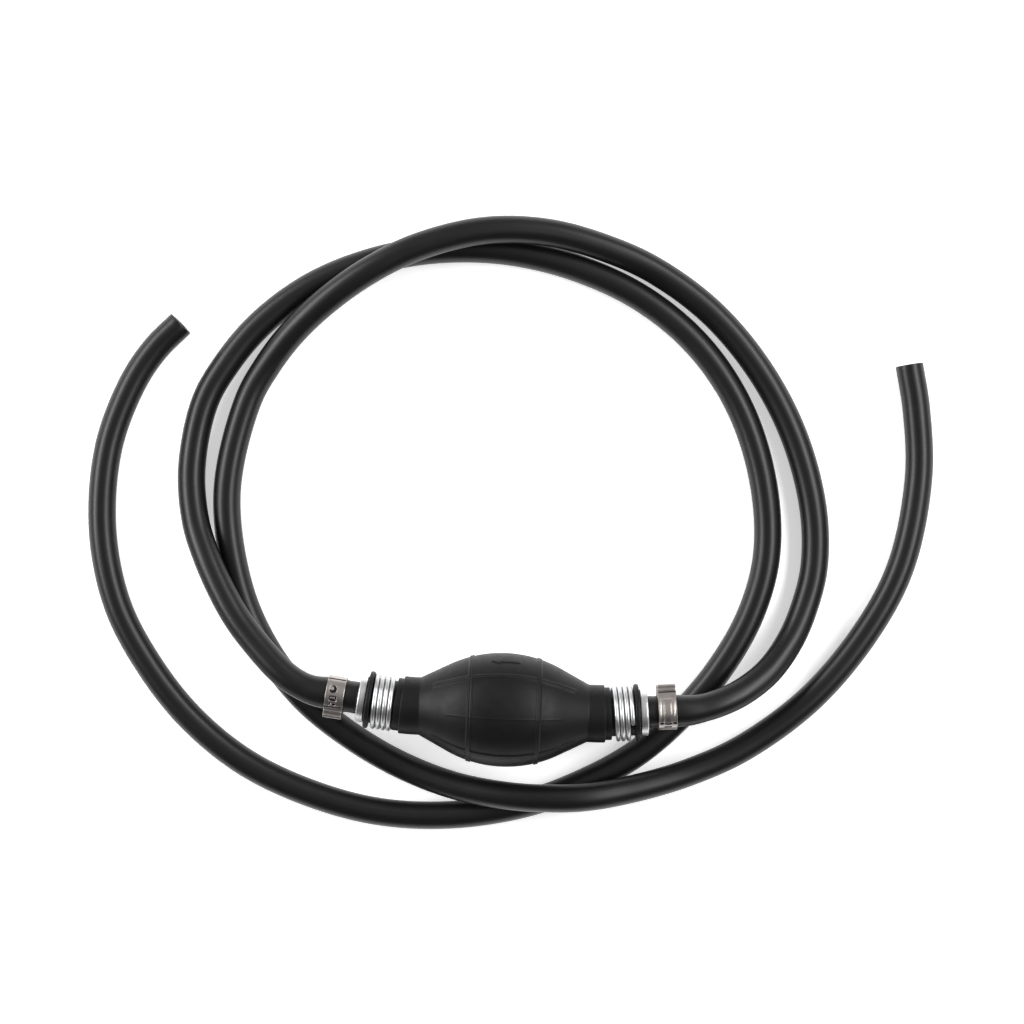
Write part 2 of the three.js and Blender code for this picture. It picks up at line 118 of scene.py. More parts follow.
def grid_surface(
    points: np.ndarray,
    row_marks: np.ndarray,
    column_marks: np.ndarray,
    closed_rows: bool = False,
    closed_columns: bool = False,
) -> Surface:
    """Four-cornered faces over a grid of points.

    Args:
        points: the grid, (rows, columns, 3), in millimetres.
        row_marks: distance down the rows, with one more where the rows close on themselves.
        column_marks: the same along the columns.
        closed_rows: whether the last row meets the first.
        closed_columns: whether the last column meets the first.

    Returns:
        The surface, whose texture coordinates are the marks in centimetres.
    """
    rows, columns = points.shape[:2]
    r, c = np.meshgrid(
        np.arange(rows if closed_rows else rows - 1),
        np.arange(columns if closed_columns else columns - 1),
        indexing="ij",
    )
    down, across = (r + 1) % rows, (c + 1) % columns
    corners = np.stack(
        [r * columns + c, down * columns + c, down * columns + across, r * columns + across], -1
    ).reshape(-1, 4)
    u = np.stack([column_marks[c], column_marks[c], column_marks[c + 1], column_marks[c + 1]], -1)
    v = np.stack([row_marks[r], row_marks[r + 1], row_marks[r + 1], row_marks[r]], -1)
    uvs = np.stack([u, v], -1).reshape(-1, 2) / 10
    return Surface(points.reshape(-1, 3), corners, uvs, np.zeros(len(corners), int))


def line_marks(line: np.ndarray, closed: bool = False) -> np.ndarray:
    """Distance along a line at each of its points.

    Args:
        line: the points, one to a row.
        closed: whether to add the way from the last point back to the first.

    Returns:
        The distances, starting at 0.
    """
    if closed:
        line = np.vstack([line, line[:1]])
    return np.concatenate([[0.0], np.cumsum(np.linalg.norm(np.diff(line, axis=0), axis=1))])


def rounded(
    points: Profile, radii: float | Sequence[float], closed: bool = False, steps: int = 5
) -> np.ndarray:
    """A line with its corners rounded.

    Args:
        points: the corners.
        radii: the radius at every corner, or one for each corner.
        closed: whether the line closes on itself.
        steps: points on each rounded corner, less one.

    Returns:
        The rounded line, one point to a row.
    """
    corner = np.array(points, float)
    count = len(corner)
    radius = np.broadcast_to(np.array(radii, float), (count,))
    made = []
    for i in range(count):
        if not closed and i in (0, count - 1) or radius[i] <= 0:
            made.append(corner[i])
            continue
        back, ahead = corner[i - 1] - corner[i], corner[(i + 1) % count] - corner[i]
        back_length, ahead_length = np.linalg.norm(back), np.linalg.norm(ahead)
        back, ahead = back / back_length, ahead / ahead_length
        turn = math.pi - math.acos(float(np.clip(back @ ahead, -1, 1)))
        if turn < STRAIGHT_TURN:
            made.append(corner[i])
            continue
        longest = TRIM_SHARE * min(back_length, ahead_length)
        trim = min(radius[i] * math.tan(turn / 2), longest)
        for t in np.linspace(0, 1, steps + 1):
            start, end = corner[i] + back * trim, corner[i] + ahead * trim
            made.append((1 - t) ** 2 * start + 2 * t * (1 - t) * corner[i] + t**2 * end)
    return np.array(made)


def filled_in(line: np.ndarray, step: float, closed: bool = False) -> np.ndarray:
    """A line with points added so that no two neighbours are further apart than a step.

    Args:
        line: the points, one to a row.
        step: the widest gap.
        closed: whether the line closes on itself.

    Returns:
        The line with its own points and the added ones.
    """
    last = line[:1] if closed else line[-1:]
    made = []
    for a, b in zip(line, np.vstack([line[1:], last])):
        parts = max(1, math.ceil(float(np.linalg.norm(b - a)) / step))
        made.extend(a + (b - a) * k / parts for k in range(parts))
    return np.array(made if closed else made + [line[-1]])


def smooth_step(value: np.ndarray) -> np.ndarray:
    """0 below 0, 1 above 1, and a soft slope between."""
    t = np.clip(value, 0, 1)
    return t * t * (3 - 2 * t)


def raised_band(distance: np.ndarray, half: float, edge: float) -> np.ndarray:
    """Height from 0 to 1 of a flat-topped band.

    Args:
        distance: signed distance from the band's middle.
        half: half the band's width at half its height.
        edge: width of its sloping side.

    Returns:
        1 on the band, 0 off it, and a soft slope on its sides.
    """
    return smooth_step((half - np.abs(distance)) / edge + 0.5)


def turned_from(angle: np.ndarray, degrees: float) -> np.ndarray:
    """Angles measured from one direction, the short way round.

    Args:
        angle: the angles, in radians.
        degrees: the direction.

    Returns:
        The angles from it, from minus half a turn to half a turn.
    """
    return (angle - math.radians(degrees) + math.pi) % (2 * math.pi) - math.pi


def turned(profile: np.ndarray, sides: int) -> Surface:
    """A closed profile turned about the X axis.

    Args:
        profile: points of x and radius, outwards along the outside and back along the inside.
        sides: points round the axis.

    Returns:
        The surface, with its angle measured from +Z towards +Y.
    """
    angles = np.linspace(0, 2 * math.pi, sides, endpoint=False)
    x = np.repeat(profile[:, :1], sides, 1)
    points = np.stack(
        [x, profile[:, 1:] * np.sin(angles), profile[:, 1:] * np.cos(angles)], -1
    )
    round_marks = np.linspace(0, 2 * math.pi * profile[:, 1].max(), sides + 1)
    return grid_surface(points, line_marks(profile, True), round_marks, True, True)


def frames_along(line: np.ndarray) -> tuple[np.ndarray, np.ndarray, np.ndarray]:
    """Frames along a line that don't twist.

    Args:
        line: the points, one to a row.

    Returns:
        The tangents and two sets of normals, each with one row for each point.
    """
    tangents = np.gradient(line, axis=0)
    tangents /= np.linalg.norm(tangents, axis=1)[:, None]
    first = np.cross(tangents[0], (0.0, 0.0, 1.0))
    if np.linalg.norm(first) < 0.2:
        first = np.cross(tangents[0], (0.0, 1.0, 0.0))
    side = [first / np.linalg.norm(first)]
    for tangent in tangents[1:]:
        carried = side[-1] - tangent * (side[-1] @ tangent)
        side.append(carried / np.linalg.norm(carried))
    sides = np.array(side)
    return tangents, sides, np.cross(sides, tangents)


def wire(line: np.ndarray, radius: float, sides: int) -> Surface:
    """A round wire along a line, with each end cut square and a little rounded.

    Args:
        line: the middle of the wire.
        radius: its radius.
        sides: points round it.

    Returns:
        The surface.
    """
    tangents, across, up = frames_along(line)
    rings = [(0, along, share) for along, share in WIRE_END]
    rings += [(k, 0.0, 1.0) for k in range(1, len(line) - 1)]
    rings += [(-1, -along, share) for along, share in reversed(WIRE_END)]
    angles = np.linspace(0, 2 * math.pi, sides, endpoint=False)
    cos, sin = np.cos(angles), np.sin(angles)
    points = np.array(
        [
            line[k]
            + tangents[k] * along
            + radius * share * (np.outer(cos, across[k]) + np.outer(sin, up[k]))
            for k, along, share in rings
        ]
    )
    marks = line_marks(points[:, 0])
    return grid_surface(
        points, marks, np.linspace(0, 2 * math.pi * radius, sides + 1), closed_columns=True
    )


def helix(
    radius: float, pitch: float, turns: float, start: float, hand: int, steps: int
) -> np.ndarray:
    """Points of a helix about the X axis.

    Args:
        radius: radius of the helix.
        pitch: advance in each turn.
        turns: number of turns.
        start: angle of its first point, from +Z towards +Y, in radians.
        hand: 1 or -1, the way it turns.
        steps: steps in each turn.

    Returns:
        The points, starting at x = 0.
    """
    t = np.linspace(0, turns, round(turns * steps) + 1)
    angle = start + hand * 2 * math.pi * t
    return np.stack([pitch * t, radius * np.sin(angle), radius * np.cos(angle)], -1)


def make_piece(
    name: str, surface: Surface, materials: Iterable[bpy.types.Material], weld: bool = False
) -> bpy.types.Object:
    """A smooth mesh object from a surface.

    Args:
        name: the object's name.
        surface: its points and faces, in millimetres.
        materials: its materials, in the order of the surface's slots.
        weld: whether to weld points that share a place, as on the axis of a turned piece.

    Returns:
        The object, linked to the scene.
    """
    mesh = bpy.data.meshes.new(name)
    mesh.from_pydata((surface.points * MM).tolist(), [], surface.corners.tolist())
    mesh.uv_layers.new(name="finish").data.foreach_set("uv", surface.uvs.astype(np.float32).ravel())
    mesh.polygons.foreach_set("material_index", surface.slots.astype(np.int32))
    mesh.polygons.foreach_set("use_smooth", np.ones(len(surface.corners), bool))
    for material in materials:
        mesh.materials.append(material)
    mesh.update()
    made = bpy.data.objects.new(name, mesh)
    bpy.context.scene.collection.objects.link(made)
    if weld:
        welder = made.modifiers.new("weld", "WELD")
        welder.merge_threshold = WELD_GAP * MM
    return made


# ---- the leaning ends --------------------------------------------------------------------------


@dataclass(frozen=True)
class Lean:
    """How the two necks lean away from the bulb's straight axis, towards +Y."""

    axis_height: float = 24.4
    inlet_degrees: float = 4.8
    outlet_degrees: float = 6.4
    start: float = 38.0
    finish: float = 46.0
    inlet_short: float = 0.9
    short_from: float = 36.1
    short_to: float = 46.8

    def bend(self, end: End) -> float:
        """Angle that one end's neck turns through, in radians."""
        return math.radians(self.inlet_degrees if end is End.INLET else self.outlet_degrees)

    def bent(self, points: np.ndarray) -> np.ndarray:
        """Points of the straight bulb, moved to their places on the leaning necks.

        Args:
            points: any number of points, the last axis holding x, y and z.

        Returns:
            The moved points, with the axis at its height above the floor.
        """
        x, y, z = points[..., 0], points[..., 1], points[..., 2]
        bend = np.where(x > 0, self.bend(End.INLET), self.bend(End.OUTLET))
        radius = (self.finish - self.start) / bend
        short = np.clip((x - self.short_from) / (self.short_to - self.short_from), 0, 1)
        along = np.abs(x) - self.inlet_short * short
        angle = np.clip((along - self.start) / radius, 0, bend)
        past = np.maximum(along - self.finish, 0)
        reach = radius - y
        straight = along <= self.start
        far = self.start + reach * np.sin(angle) + past * np.cos(angle)
        new_y = radius - reach * np.cos(angle) + past * np.sin(angle)
        return np.stack(
            [
                np.sign(x) * np.where(straight, along, far),
                np.where(straight, y, new_y),
                z + self.axis_height,
            ],
            -1,
        )

    def placed(self, points: np.ndarray, end: End) -> np.ndarray:
        """Points of one end's own frame, whose X axis runs outwards along the neck.

        Args:
            points: any number of points, the last axis holding x, y and z.
            end: which end.

        Returns:
            The points in the part's frame.
        """
        bend = self.bend(end)
        side = end.value
        radius = (self.finish - self.start) / bend
        start_x = side * (self.start + radius * math.sin(bend))
        start_y = radius * (1 - math.cos(bend))
        back = self.finish + (self.inlet_short if end is End.INLET else 0.0)
        x, y, z = points[..., 0] - back, points[..., 1], points[..., 2]
        cos, sin = side * math.cos(bend), math.sin(bend)
        return np.stack(
            [start_x + cos * x - sin * y, start_y + sin * x + cos * y, z + self.axis_height], -1
        )

    def placed_surface(self, surface: Surface, end: End) -> Surface:
        """The same surface with its points moved from one end's frame to the part's."""
        points = self.placed(surface.points, end)
        return Surface(points, surface.corners, surface.uvs, surface.slots)


LEAN = Lean()


# ---- finishes ----------------------------------------------------------------------------------


class Nodes:
    """The node tree of one finish, with short calls to add nodes and join them."""

    def __init__(self, name: str) -> None:
        """Starts a material with a Principled shader.

        Args:
            name: the material's name.
        """
        self.material = bpy.data.materials.new(name)
        self.material.use_nodes = True
        self.tree = self.material.node_tree
        self.shader = self.tree.nodes["Principled BSDF"]

    def add(self, kind: str, **settings: object) -> bpy.types.Node:
        """Adds a node.

        Args:
            kind: the node's type.
            settings: its properties by name.

        Returns:
            The node.
        """
        node = self.tree.nodes.new(kind)
        for key, value in settings.items():
            setattr(node, key, value)
        return node

    def join(self, source: bpy.types.NodeSocket, target: bpy.types.NodeSocket) -> None:
        """Links one socket to another."""
        self.tree.links.new(source, target)

    def fixed(self, **values: object) -> None:
        """Sets the shader's own sockets.

        Args:
            values: a value for each socket, with _ for each space in its name.
        """
        for key, value in values.items():
            self.shader.inputs[key.replace("_", " ")].default_value = value

    def place(self, output: str, scale: Sequence[float]) -> bpy.types.NodeSocket:
        """Texture places, stretched by a scale.

        Args:
            output: "Object" for metres in the part's frame, or "UV" for centimetres on the piece.
            scale: three factors.

        Returns:
            The socket that holds the place.
        """
        mapping = self.add("ShaderNodeMapping")
        mapping.inputs["Scale"].default_value = scale
        self.join(self.add("ShaderNodeTexCoord").outputs[output], mapping.inputs["Vector"])
        return mapping.outputs["Vector"]

    def noise(
        self, place: bpy.types.NodeSocket, scale: float, detail: float = 3.0, rough: float = 0.5
    ) -> bpy.types.NodeSocket:
        """Noise from 0 to 1.

        Args:
            place: where it is read.
            scale: how many lumps there are in each unit.
            detail: octaves of finer noise.
            rough: how strong they are.

        Returns:
            The socket that holds the noise.
        """
        node = self.add("ShaderNodeTexNoise")
        node.inputs["Scale"].default_value = scale
        node.inputs["Detail"].default_value = detail
        node.inputs["Roughness"].default_value = rough
        self.join(place, node.inputs["Vector"])
        return node.outputs["Fac"]

    def spread(
        self,
        value: bpy.types.NodeSocket,
        low: float,
        high: float,
        source_low: float = 0.3,
        source_high: float = 0.7,
    ) -> bpy.types.NodeSocket:
        """A value spread over another range.

        Args:
            value: the socket to spread.
            low: what the source's low gives.
            high: what the source's high gives.
            source_low: low end of the source.
            source_high: high end of the source.

        Returns:
            The socket that holds the new value.
        """
        node = self.add("ShaderNodeMapRange")
        for key, number in zip(
            ("From Min", "From Max", "To Min", "To Max"), (source_low, source_high, low, high)
        ):
            node.inputs[key].default_value = number
        self.join(value, node.inputs["Value"])
        return node.outputs["Result"]

    def blend(
        self, share: bpy.types.NodeSocket, first: object, second: object
    ) -> bpy.types.NodeSocket:
        """A mix of two colours.

        Args:
            share: 0 for the first colour and 1 for the second.
            first: a colour or a socket.
            second: a colour or a socket.

        Returns:
            The socket that holds the mixed colour.
        """
        node = self.add("ShaderNodeMix", data_type="RGBA")
        self.join(share, node.inputs["Factor"])
        for index, value in ((6, first), (7, second)):
            if isinstance(value, bpy.types.NodeSocket):
                self.join(value, node.inputs[index])
            else:
                node.inputs[index].default_value = (*value, 1.0)
        return node.outputs[2]

    def bump(
        self, height: bpy.types.NodeSocket, depth_mm: float, under: bpy.types.Node | None = None
    ) -> bpy.types.Node:
        """Relief from a height.

        Args:
            height: a socket from 0 to 1.
            depth_mm: how deep that is, in millimetres.
            under: another bump to add it to.

        Returns:
            The bump node.
        """
        node = self.add("ShaderNodeBump")
        node.inputs["Strength"].default_value = 1.0
        node.inputs["Distance"].default_value = depth_mm * MM
        self.join(height, node.inputs["Height"])
        if under is not None:
            self.join(under.outputs["Normal"], node.inputs["Normal"])
        return node

    def finish(
        self,
        colour: bpy.types.NodeSocket,
        roughness: bpy.types.NodeSocket,
        relief: bpy.types.Node,
    ) -> bpy.types.Material:
        """Joins colour, roughness and relief to the shader.

        Args:
            colour: socket of the base colour.
            roughness: socket of the roughness.
            relief: the last bump node.

        Returns:
            The material.
        """
        self.join(colour, self.shader.inputs["Base Color"])
        self.join(roughness, self.shader.inputs["Roughness"])
        self.join(relief.outputs["Normal"], self.shader.inputs["Normal"])
        return self.material


@dataclass(frozen=True)
class BulbRubber:
    """Matt moulded rubber with a fine grain and a little dust and bloom."""

    dark: Colour = (0.0032, 0.0032, 0.0035)
    bloom: Colour = (0.0060, 0.0060, 0.0063)
    dust: Colour = (0.032, 0.031, 0.030)
    gloss: float = 0.21
    grain_mm: float = 0.010

    def material(self) -> bpy.types.Material:
        """The finish as a material."""
        nodes = Nodes("bulb_rubber")
        nodes.fixed(Specular_IOR_Level=self.gloss)
        place = nodes.place("Object", (1.0, 1.0, 1.0))
        cloud = nodes.spread(nodes.noise(place, 70.0, 4.0, 0.6), 0.0, 1.0)
        fleck = nodes.spread(nodes.noise(place, 1500.0, 2.0), 0.0, 0.6, 0.70, 0.80)
        colour = nodes.blend(fleck, nodes.blend(cloud, self.dark, self.bloom), self.dust)
        roughness = nodes.spread(nodes.noise(place, 260.0, 4.0, 0.65), 0.42, 0.52)
        waves = nodes.bump(nodes.noise(place, 130.0, 2.0), 0.05)
        grain = nodes.bump(nodes.noise(place, 2600.0, 3.0, 0.6), self.grain_mm, waves)
        return nodes.finish(colour, roughness, grain)


@dataclass(frozen=True)
class HoseRubber:
    """Satin extruded rubber with faint lines drawn along it by the die."""

    dark: Colour = (0.0031, 0.0031, 0.0034)
    worn: Colour = (0.0054, 0.0054, 0.0056)
    dust: Colour = (0.028, 0.028, 0.027)
    gloss: float = 0.37
    line_mm: float = 0.012

    def material(self) -> bpy.types.Material:
        """The finish as a material."""
        nodes = Nodes("hose_rubber")
        nodes.fixed(Specular_IOR_Level=self.gloss)
        place = nodes.place("Object", (1.0, 1.0, 1.0))
        drawn = nodes.place("UV", (9.0, 0.12, 1.0))
        cloud = nodes.spread(nodes.noise(place, 45.0, 4.0, 0.6), 0.0, 1.0)
        fleck = nodes.spread(nodes.noise(place, 1300.0, 2.0), 0.0, 0.5, 0.71, 0.80)
        colour = nodes.blend(fleck, nodes.blend(cloud, self.dark, self.worn), self.dust)
        roughness = nodes.spread(nodes.noise(drawn, 1.6, 4.0, 0.7), 0.33, 0.43)
        lines = nodes.bump(nodes.noise(drawn, 1.0, 5.0, 0.6), self.line_mm)
        grain = nodes.bump(nodes.noise(place, 2100.0, 2.0), 0.004, lines)
        return nodes.finish(colour, roughness, grain)


@dataclass(frozen=True)
class PlainPolymer:
    """Moulded acetal or nitrile: fine grain and flow marks."""

    name: str
    low: Colour
    high: Colour
    roughness: float

    def material(self) -> bpy.types.Material:
        """The finish as a material."""
        nodes = Nodes(self.name)
        place = nodes.place("Object", (1.0, 1.0, 1.0))
        colour = nodes.blend(
            nodes.spread(nodes.noise(place, 300.0, 4.0, 0.6), 0.0, 1.0), self.low, self.high
        )
        roughness = nodes.spread(
            nodes.noise(place, 900.0), self.roughness - 0.05, self.roughness + 0.06
        )
        return nodes.finish(colour, roughness, nodes.bump(nodes.noise(place, 3000.0), 0.005))


@dataclass(frozen=True)
class Metal:
    """Bare metal with marks drawn along one way of the piece, and faint stains."""

    name: str
    low: Colour
    high: Colour
    smooth: float
    rough: float
    stretch: tuple[float, float]
    mark_mm: float

    def material(self) -> bpy.types.Material:
        """The finish as a material."""
        nodes = Nodes(self.name)
        nodes.fixed(Metallic=1.0)
        place = nodes.place("Object", (1.0, 1.0, 1.0))
        drawn = nodes.place("UV", (*self.stretch, 1.0))
        stain = nodes.spread(nodes.noise(place, 240.0, 5.0, 0.65), 0.0, 1.0)
        colour = nodes.blend(stain, self.low, self.high)
        roughness = nodes.spread(nodes.noise(drawn, 2.0, 4.0, 0.7), self.smooth, self.rough)
        marks = nodes.bump(nodes.noise(drawn, 1.0, 4.0, 0.6), self.mark_mm)
        dents = nodes.bump(nodes.noise(place, 420.0, 2.0), self.mark_mm * 2, marks)
        return nodes.finish(colour, roughness, dents)


@dataclass(frozen=True)
class PaleFloor:
    """The white paper that the pump lies on."""

    white: Colour = (0.93, 0.93, 0.93)
    shade: Colour = (0.90, 0.90, 0.90)
    glow: float = 0.5

    def material(self) -> bpy.types.Material:
        """The finish as a material."""
        nodes = Nodes("pale_floor")
        nodes.fixed(
            Specular_IOR_Level=0.1,
            Emission_Color=(1.0, 1.0, 1.0, 1.0),
            Emission_Strength=self.glow,
        )
        place = nodes.place("Object", (1.0, 1.0, 1.0))
        colour = nodes.blend(nodes.noise(place, 4.0), self.white, self.shade)
        roughness = nodes.spread(nodes.noise(place, 80.0), 0.85, 0.95)
        return nodes.finish(colour, roughness, nodes.bump(nodes.noise(place, 1800.0), 0.01))


@dataclass(frozen=True)
class Finishes:
    """Every finish of the pump as a material, made once."""

    bulb: bpy.types.Material
    hose: bpy.types.Material
    turned: bpy.types.Material
    wire: bpy.types.Material
    band: bpy.types.Material
    acetal: bpy.types.Material
    nitrile: bpy.types.Material
    spring: bpy.types.Material

    @classmethod
    def made(cls) -> "Finishes":
        """Makes the materials."""
        return cls(
            bulb=BulbRubber().material(),
            hose=HoseRubber().material(),
            turned=Metal(
                "turned_metal", (0.64, 0.63, 0.625), (0.77, 0.76, 0.755), 0.30, 0.42,
                (0.15, 60.0), 0.006,
            ).material(),
            wire=Metal(
                "zinc_wire", (0.54, 0.545, 0.55), (0.68, 0.685, 0.69), 0.27, 0.38,
                (30.0, 0.4), 0.006,
            ).material(),
            band=Metal(
                "stainless_band", (0.40, 0.36, 0.34), (0.54, 0.50, 0.475), 0.27, 0.38,
                (40.0, 1.2), 0.004,
            ).material(),
            acetal=PlainPolymer("acetal", (0.70, 0.68, 0.63), (0.80, 0.78, 0.73), 0.45).material(),
            nitrile=PlainPolymer(
                "nitrile", (0.016, 0.013, 0.011), (0.03, 0.025, 0.022), 0.6
            ).material(),
            spring=Metal(
                "spring_steel", (0.42, 0.44, 0.46), (0.60, 0.62, 0.64), 0.22, 0.34,
                (30.0, 0.4), 0.004,
            ).material(),
        )


# ---- the studio --------------------------------------------------------------------------------


@dataclass
class Studio:
    """Camera straight above, a white floor and two long softboxes, one on each side."""

    camera_at: tuple[float, float, float] = (-0.0002, 0.0850, 0.985)
    camera_turn: float = 2.5
    lens: float = 78.6
    sensor_width: float = 36.0
    nearest: float = 0.05
    farthest: float = 30.0
    floor_half: float = 6.0
    world_front: float = 0.08
    world_back: float = 0.44
    world_fade: float = 0.7

    def camera(self) -> None:
        """Makes the scene's camera."""
        data = bpy.data.cameras.new("camera")
        data.lens = self.lens
        data.sensor_width = self.sensor_width
        data.clip_start, data.clip_end = self.nearest, self.farthest
        made = bpy.data.objects.new("camera", data)
        made.location = self.camera_at
        made.rotation_euler = (0.0, 0.0, math.radians(self.camera_turn))
        bpy.context.scene.collection.objects.link(made)
        bpy.context.scene.camera = made

    def softbox(
        self,
        name: str,
        centre: tuple[float, float, float],
        size: tuple[float, float],
        power: float,
    ) -> None:
        """Makes one softbox that faces the pump.

        Args:
            name: its name.
            centre: where it is, in metres.
            size: its length along Y and its width, in metres.
            power: its power in watts.
        """
        data = bpy.data.lights.new(name, "AREA")
        data.shape = "RECTANGLE"
        data.size, data.size_y = size[1], size[0]
        data.energy = power
        made = bpy.data.objects.new(name, data)
        made.location = centre
        lean = math.atan2(centre[0], centre[2])
        made.rotation_euler = (0.0, lean, 0.0)
        made.visible_camera = False
        bpy.context.scene.collection.objects.link(made)

    def world(self) -> None:
        """Makes the room's own light, dim in front and brighter behind."""
        world = bpy.data.worlds.new("room")
        world.use_nodes = True
        tree = world.node_tree
        background = tree.nodes["Background"]
        direction = tree.nodes.new("ShaderNodeTexCoord")
        parts = tree.nodes.new("ShaderNodeSeparateXYZ")
        ramp = tree.nodes.new("ShaderNodeMapRange")
        ramp.inputs["From Min"].default_value = -self.world_fade
        ramp.inputs["From Max"].default_value = self.world_fade
        ramp.inputs["To Min"].default_value = self.world_front
        ramp.inputs["To Max"].default_value = self.world_back
        tree.links.new(direction.outputs["Generated"], parts.inputs["Vector"])
        tree.links.new(parts.outputs["Y"], ramp.inputs["Value"])
        tree.links.new(ramp.outputs["Result"], background.inputs["Strength"])
        background.inputs["Color"].default_value = (1.0, 1.0, 1.0, 1.0)
        bpy.context.scene.world = world

    def floor(self) -> None:
        """Makes the floor."""
        half = self.floor_half / MM
        line = np.array([-half, half])
        x, y = np.meshgrid(line, line, indexing="ij")
        points = np.stack([x, y, np.zeros_like(x)], -1)
        surface = grid_surface(points, line + half, line + half)
        made = make_piece("floor", surface, [PaleFloor().material()])

    def build(self) -> None:
        """Makes the floor and the lights, and sets the picture's tones."""
        self.world()
        self.floor()
        self.softbox("softbox_left", centre=(-1.26, 0.55, 0.82), size=(1.7, 0.42), power=27.0)
        self.softbox("softbox_right", centre=(0.97, 0.55, 1.15), size=(1.7, 0.36), power=24.0)
        view = bpy.context.scene.view_settings
        view.view_transform = "Standard"
        view.look = "None"
        LOG.info("studio: floor, room light and two softboxes")


# ---- the hoses ---------------------------------------------------------------------------------


@dataclass
class Hose:
    """One hose: a cuff stretched over the barbs of its tail, then a plain length to its cut end."""

    end: End
    route: Sequence[tuple[float, float, float]]
    real_length: float
    clamp_x: float
    first_x: float = 63.0
    tail_end: float = 77.3
    lead: float = 3.0
    cuff_radius: float = 6.85
    taper: float = 12.0
    radius: float = 6.0
    bore: float = 4.0
    socket: float = 5.1
    clamp_half: float = 4.0
    barb_crests: tuple[float, ...] = (63.8, 68.2, 72.6)
    barb_swell: float = 0.10
    swell_length: float = 1.1
    clamp_lip: float = 0.06
    clamp_sink: float = 0.14
    sides: int = 56
    ring_step: float = 2.2
    cuff_step: float = 0.45
    cuff_gap: float = 0.2
    curve_steps: int = 40
    bore_skip: int = 4

    def middle(self) -> np.ndarray:
        """The hose's middle line, evenly spaced.

        Returns:
            Its points from the flange to the cut end, in millimetres.
        """
        lead = np.array([[self.tail_end, 0.0, 0.0], [self.tail_end + self.lead, 0.0, 0.0]])
        knots = np.vstack([LEAN.placed(lead, self.end), np.array(self.route, float)])
        knots = np.vstack([2 * knots[:1] - knots[1:2], knots, 2 * knots[-1:] - knots[-2:-1]])
        made = []
        for p0, p1, p2, p3 in zip(knots, knots[1:], knots[2:], knots[3:]):
            d0, d1, d2 = (np.linalg.norm(b - a) ** 0.5 for a, b in ((p0, p1), (p1, p2), (p2, p3)))
            m1 = ((p1 - p0) / d0 - (p2 - p0) / (d0 + d1) + (p2 - p1) / d1) * d1
            m2 = ((p2 - p1) / d1 - (p3 - p1) / (d1 + d2) + (p3 - p2) / d2) * d1
            t = np.linspace(0, 1, self.curve_steps, endpoint=False)[:, None]
            made.append(
                p1
                + m1 * t
                + (3 * (p2 - p1) - 2 * m1 - m2) * t**2
                + (2 * (p1 - p2) + m1 + m2) * t**3
            )
        line = np.vstack([*made, knots[-2:-1]])
        marks = line_marks(line)
        count = round(marks[-1] / self.ring_step)
        even = np.linspace(0, marks[-1], count + 1)
        free = np.stack([np.interp(even, marks, line[:, k]) for k in range(3)], -1)
        held_x = np.arange(self.first_x, self.tail_end - self.cuff_gap, self.cuff_step)
        held = np.stack([held_x, np.zeros_like(held_x), np.zeros_like(held_x)], -1)
        return np.vstack([LEAN.placed(held, self.end), free])

    def outer_radius(self, along: np.ndarray) -> np.ndarray:
        """Radius of the outside at distances from the flange.

        Args:
            along: distances from the hose's first end.

        Returns:
            The radius at each.
        """
        x = self.first_x + along
        cuff = np.full_like(x, self.cuff_radius - 0.05)
        for crest in self.barb_crests:
            cuff += self.barb_swell * np.exp(-(((x - crest) / self.swell_length) ** 2))
        off_clamp = x - self.clamp_x
        cuff += self.clamp_lip * raised_band(off_clamp, self.clamp_half + 0.9, 0.8)
        cuff -= self.clamp_sink * raised_band(off_clamp, self.clamp_half - 0.1, 0.5)
        return cuff + (self.radius - cuff) * smooth_step((x - self.tail_end + 0.6) / self.taper)

    def surface(self, line: np.ndarray) -> Surface:
        """The hose's whole wall, outside and bore.

        Args:
            line: its middle line.

        Returns:
            The surface.
        """
        tangents, across, up = frames_along(line)
        marks = line_marks(line)
        outer = self.outer_radius(marks)
        inner = self.bore + (self.socket - self.bore) * smooth_step(
            (self.tail_end + 1.0 - self.first_x - marks) / 1.5
        )
        last = len(line) - 1
        rings = [(0, 0.0, inner[0] + 0.3), (0, 0.0, outer[0] - 0.3), (0, 0.12, outer[0] - 0.08)]
        rings += [(k, 0.0, outer[k]) for k in range(1, last)]
        rings += [(last, -0.35, outer[last]), (last, -0.1, outer[last] - 0.06)]
        rings += [(last, 0.0, outer[last] - 0.28), (last, 0.03, self.bore + 0.9)]
        rings += [(last, 0.0, self.bore + 0.2), (last, -0.2, self.bore)]
        rings += [(k, 0.0, inner[k]) for k in range(last - 1, 0, -self.bore_skip)]
        rings += [(0, 0.15, inner[0])]
        angles = np.linspace(0, 2 * math.pi, self.sides, endpoint=False)
        cos, sin = np.cos(angles), np.sin(angles)
        points = np.array(
            [
                line[k]
                + tangents[k] * offset
                + radius * (np.outer(cos, across[k]) + np.outer(sin, up[k]))
                for k, offset, radius in rings
            ]
        )
        around = np.linspace(0, 2 * math.pi * self.radius, self.sides + 1)
        return grid_surface(points, line_marks(points[:, 0], True), around, True, True)

    def build(self, finishes: Finishes) -> None:
        """Args:
            finishes: the pump's materials.
        """
        line = self.middle()
        name = f"{self.end.prefix}_hose"
        made = make_piece(f"{name}_rubber", self.surface(line), [finishes.hose])
        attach(made, "pump_body")
        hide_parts(name)
        LOG.info("%s: %.3f m", name, line_marks(line)[-1] * MM)


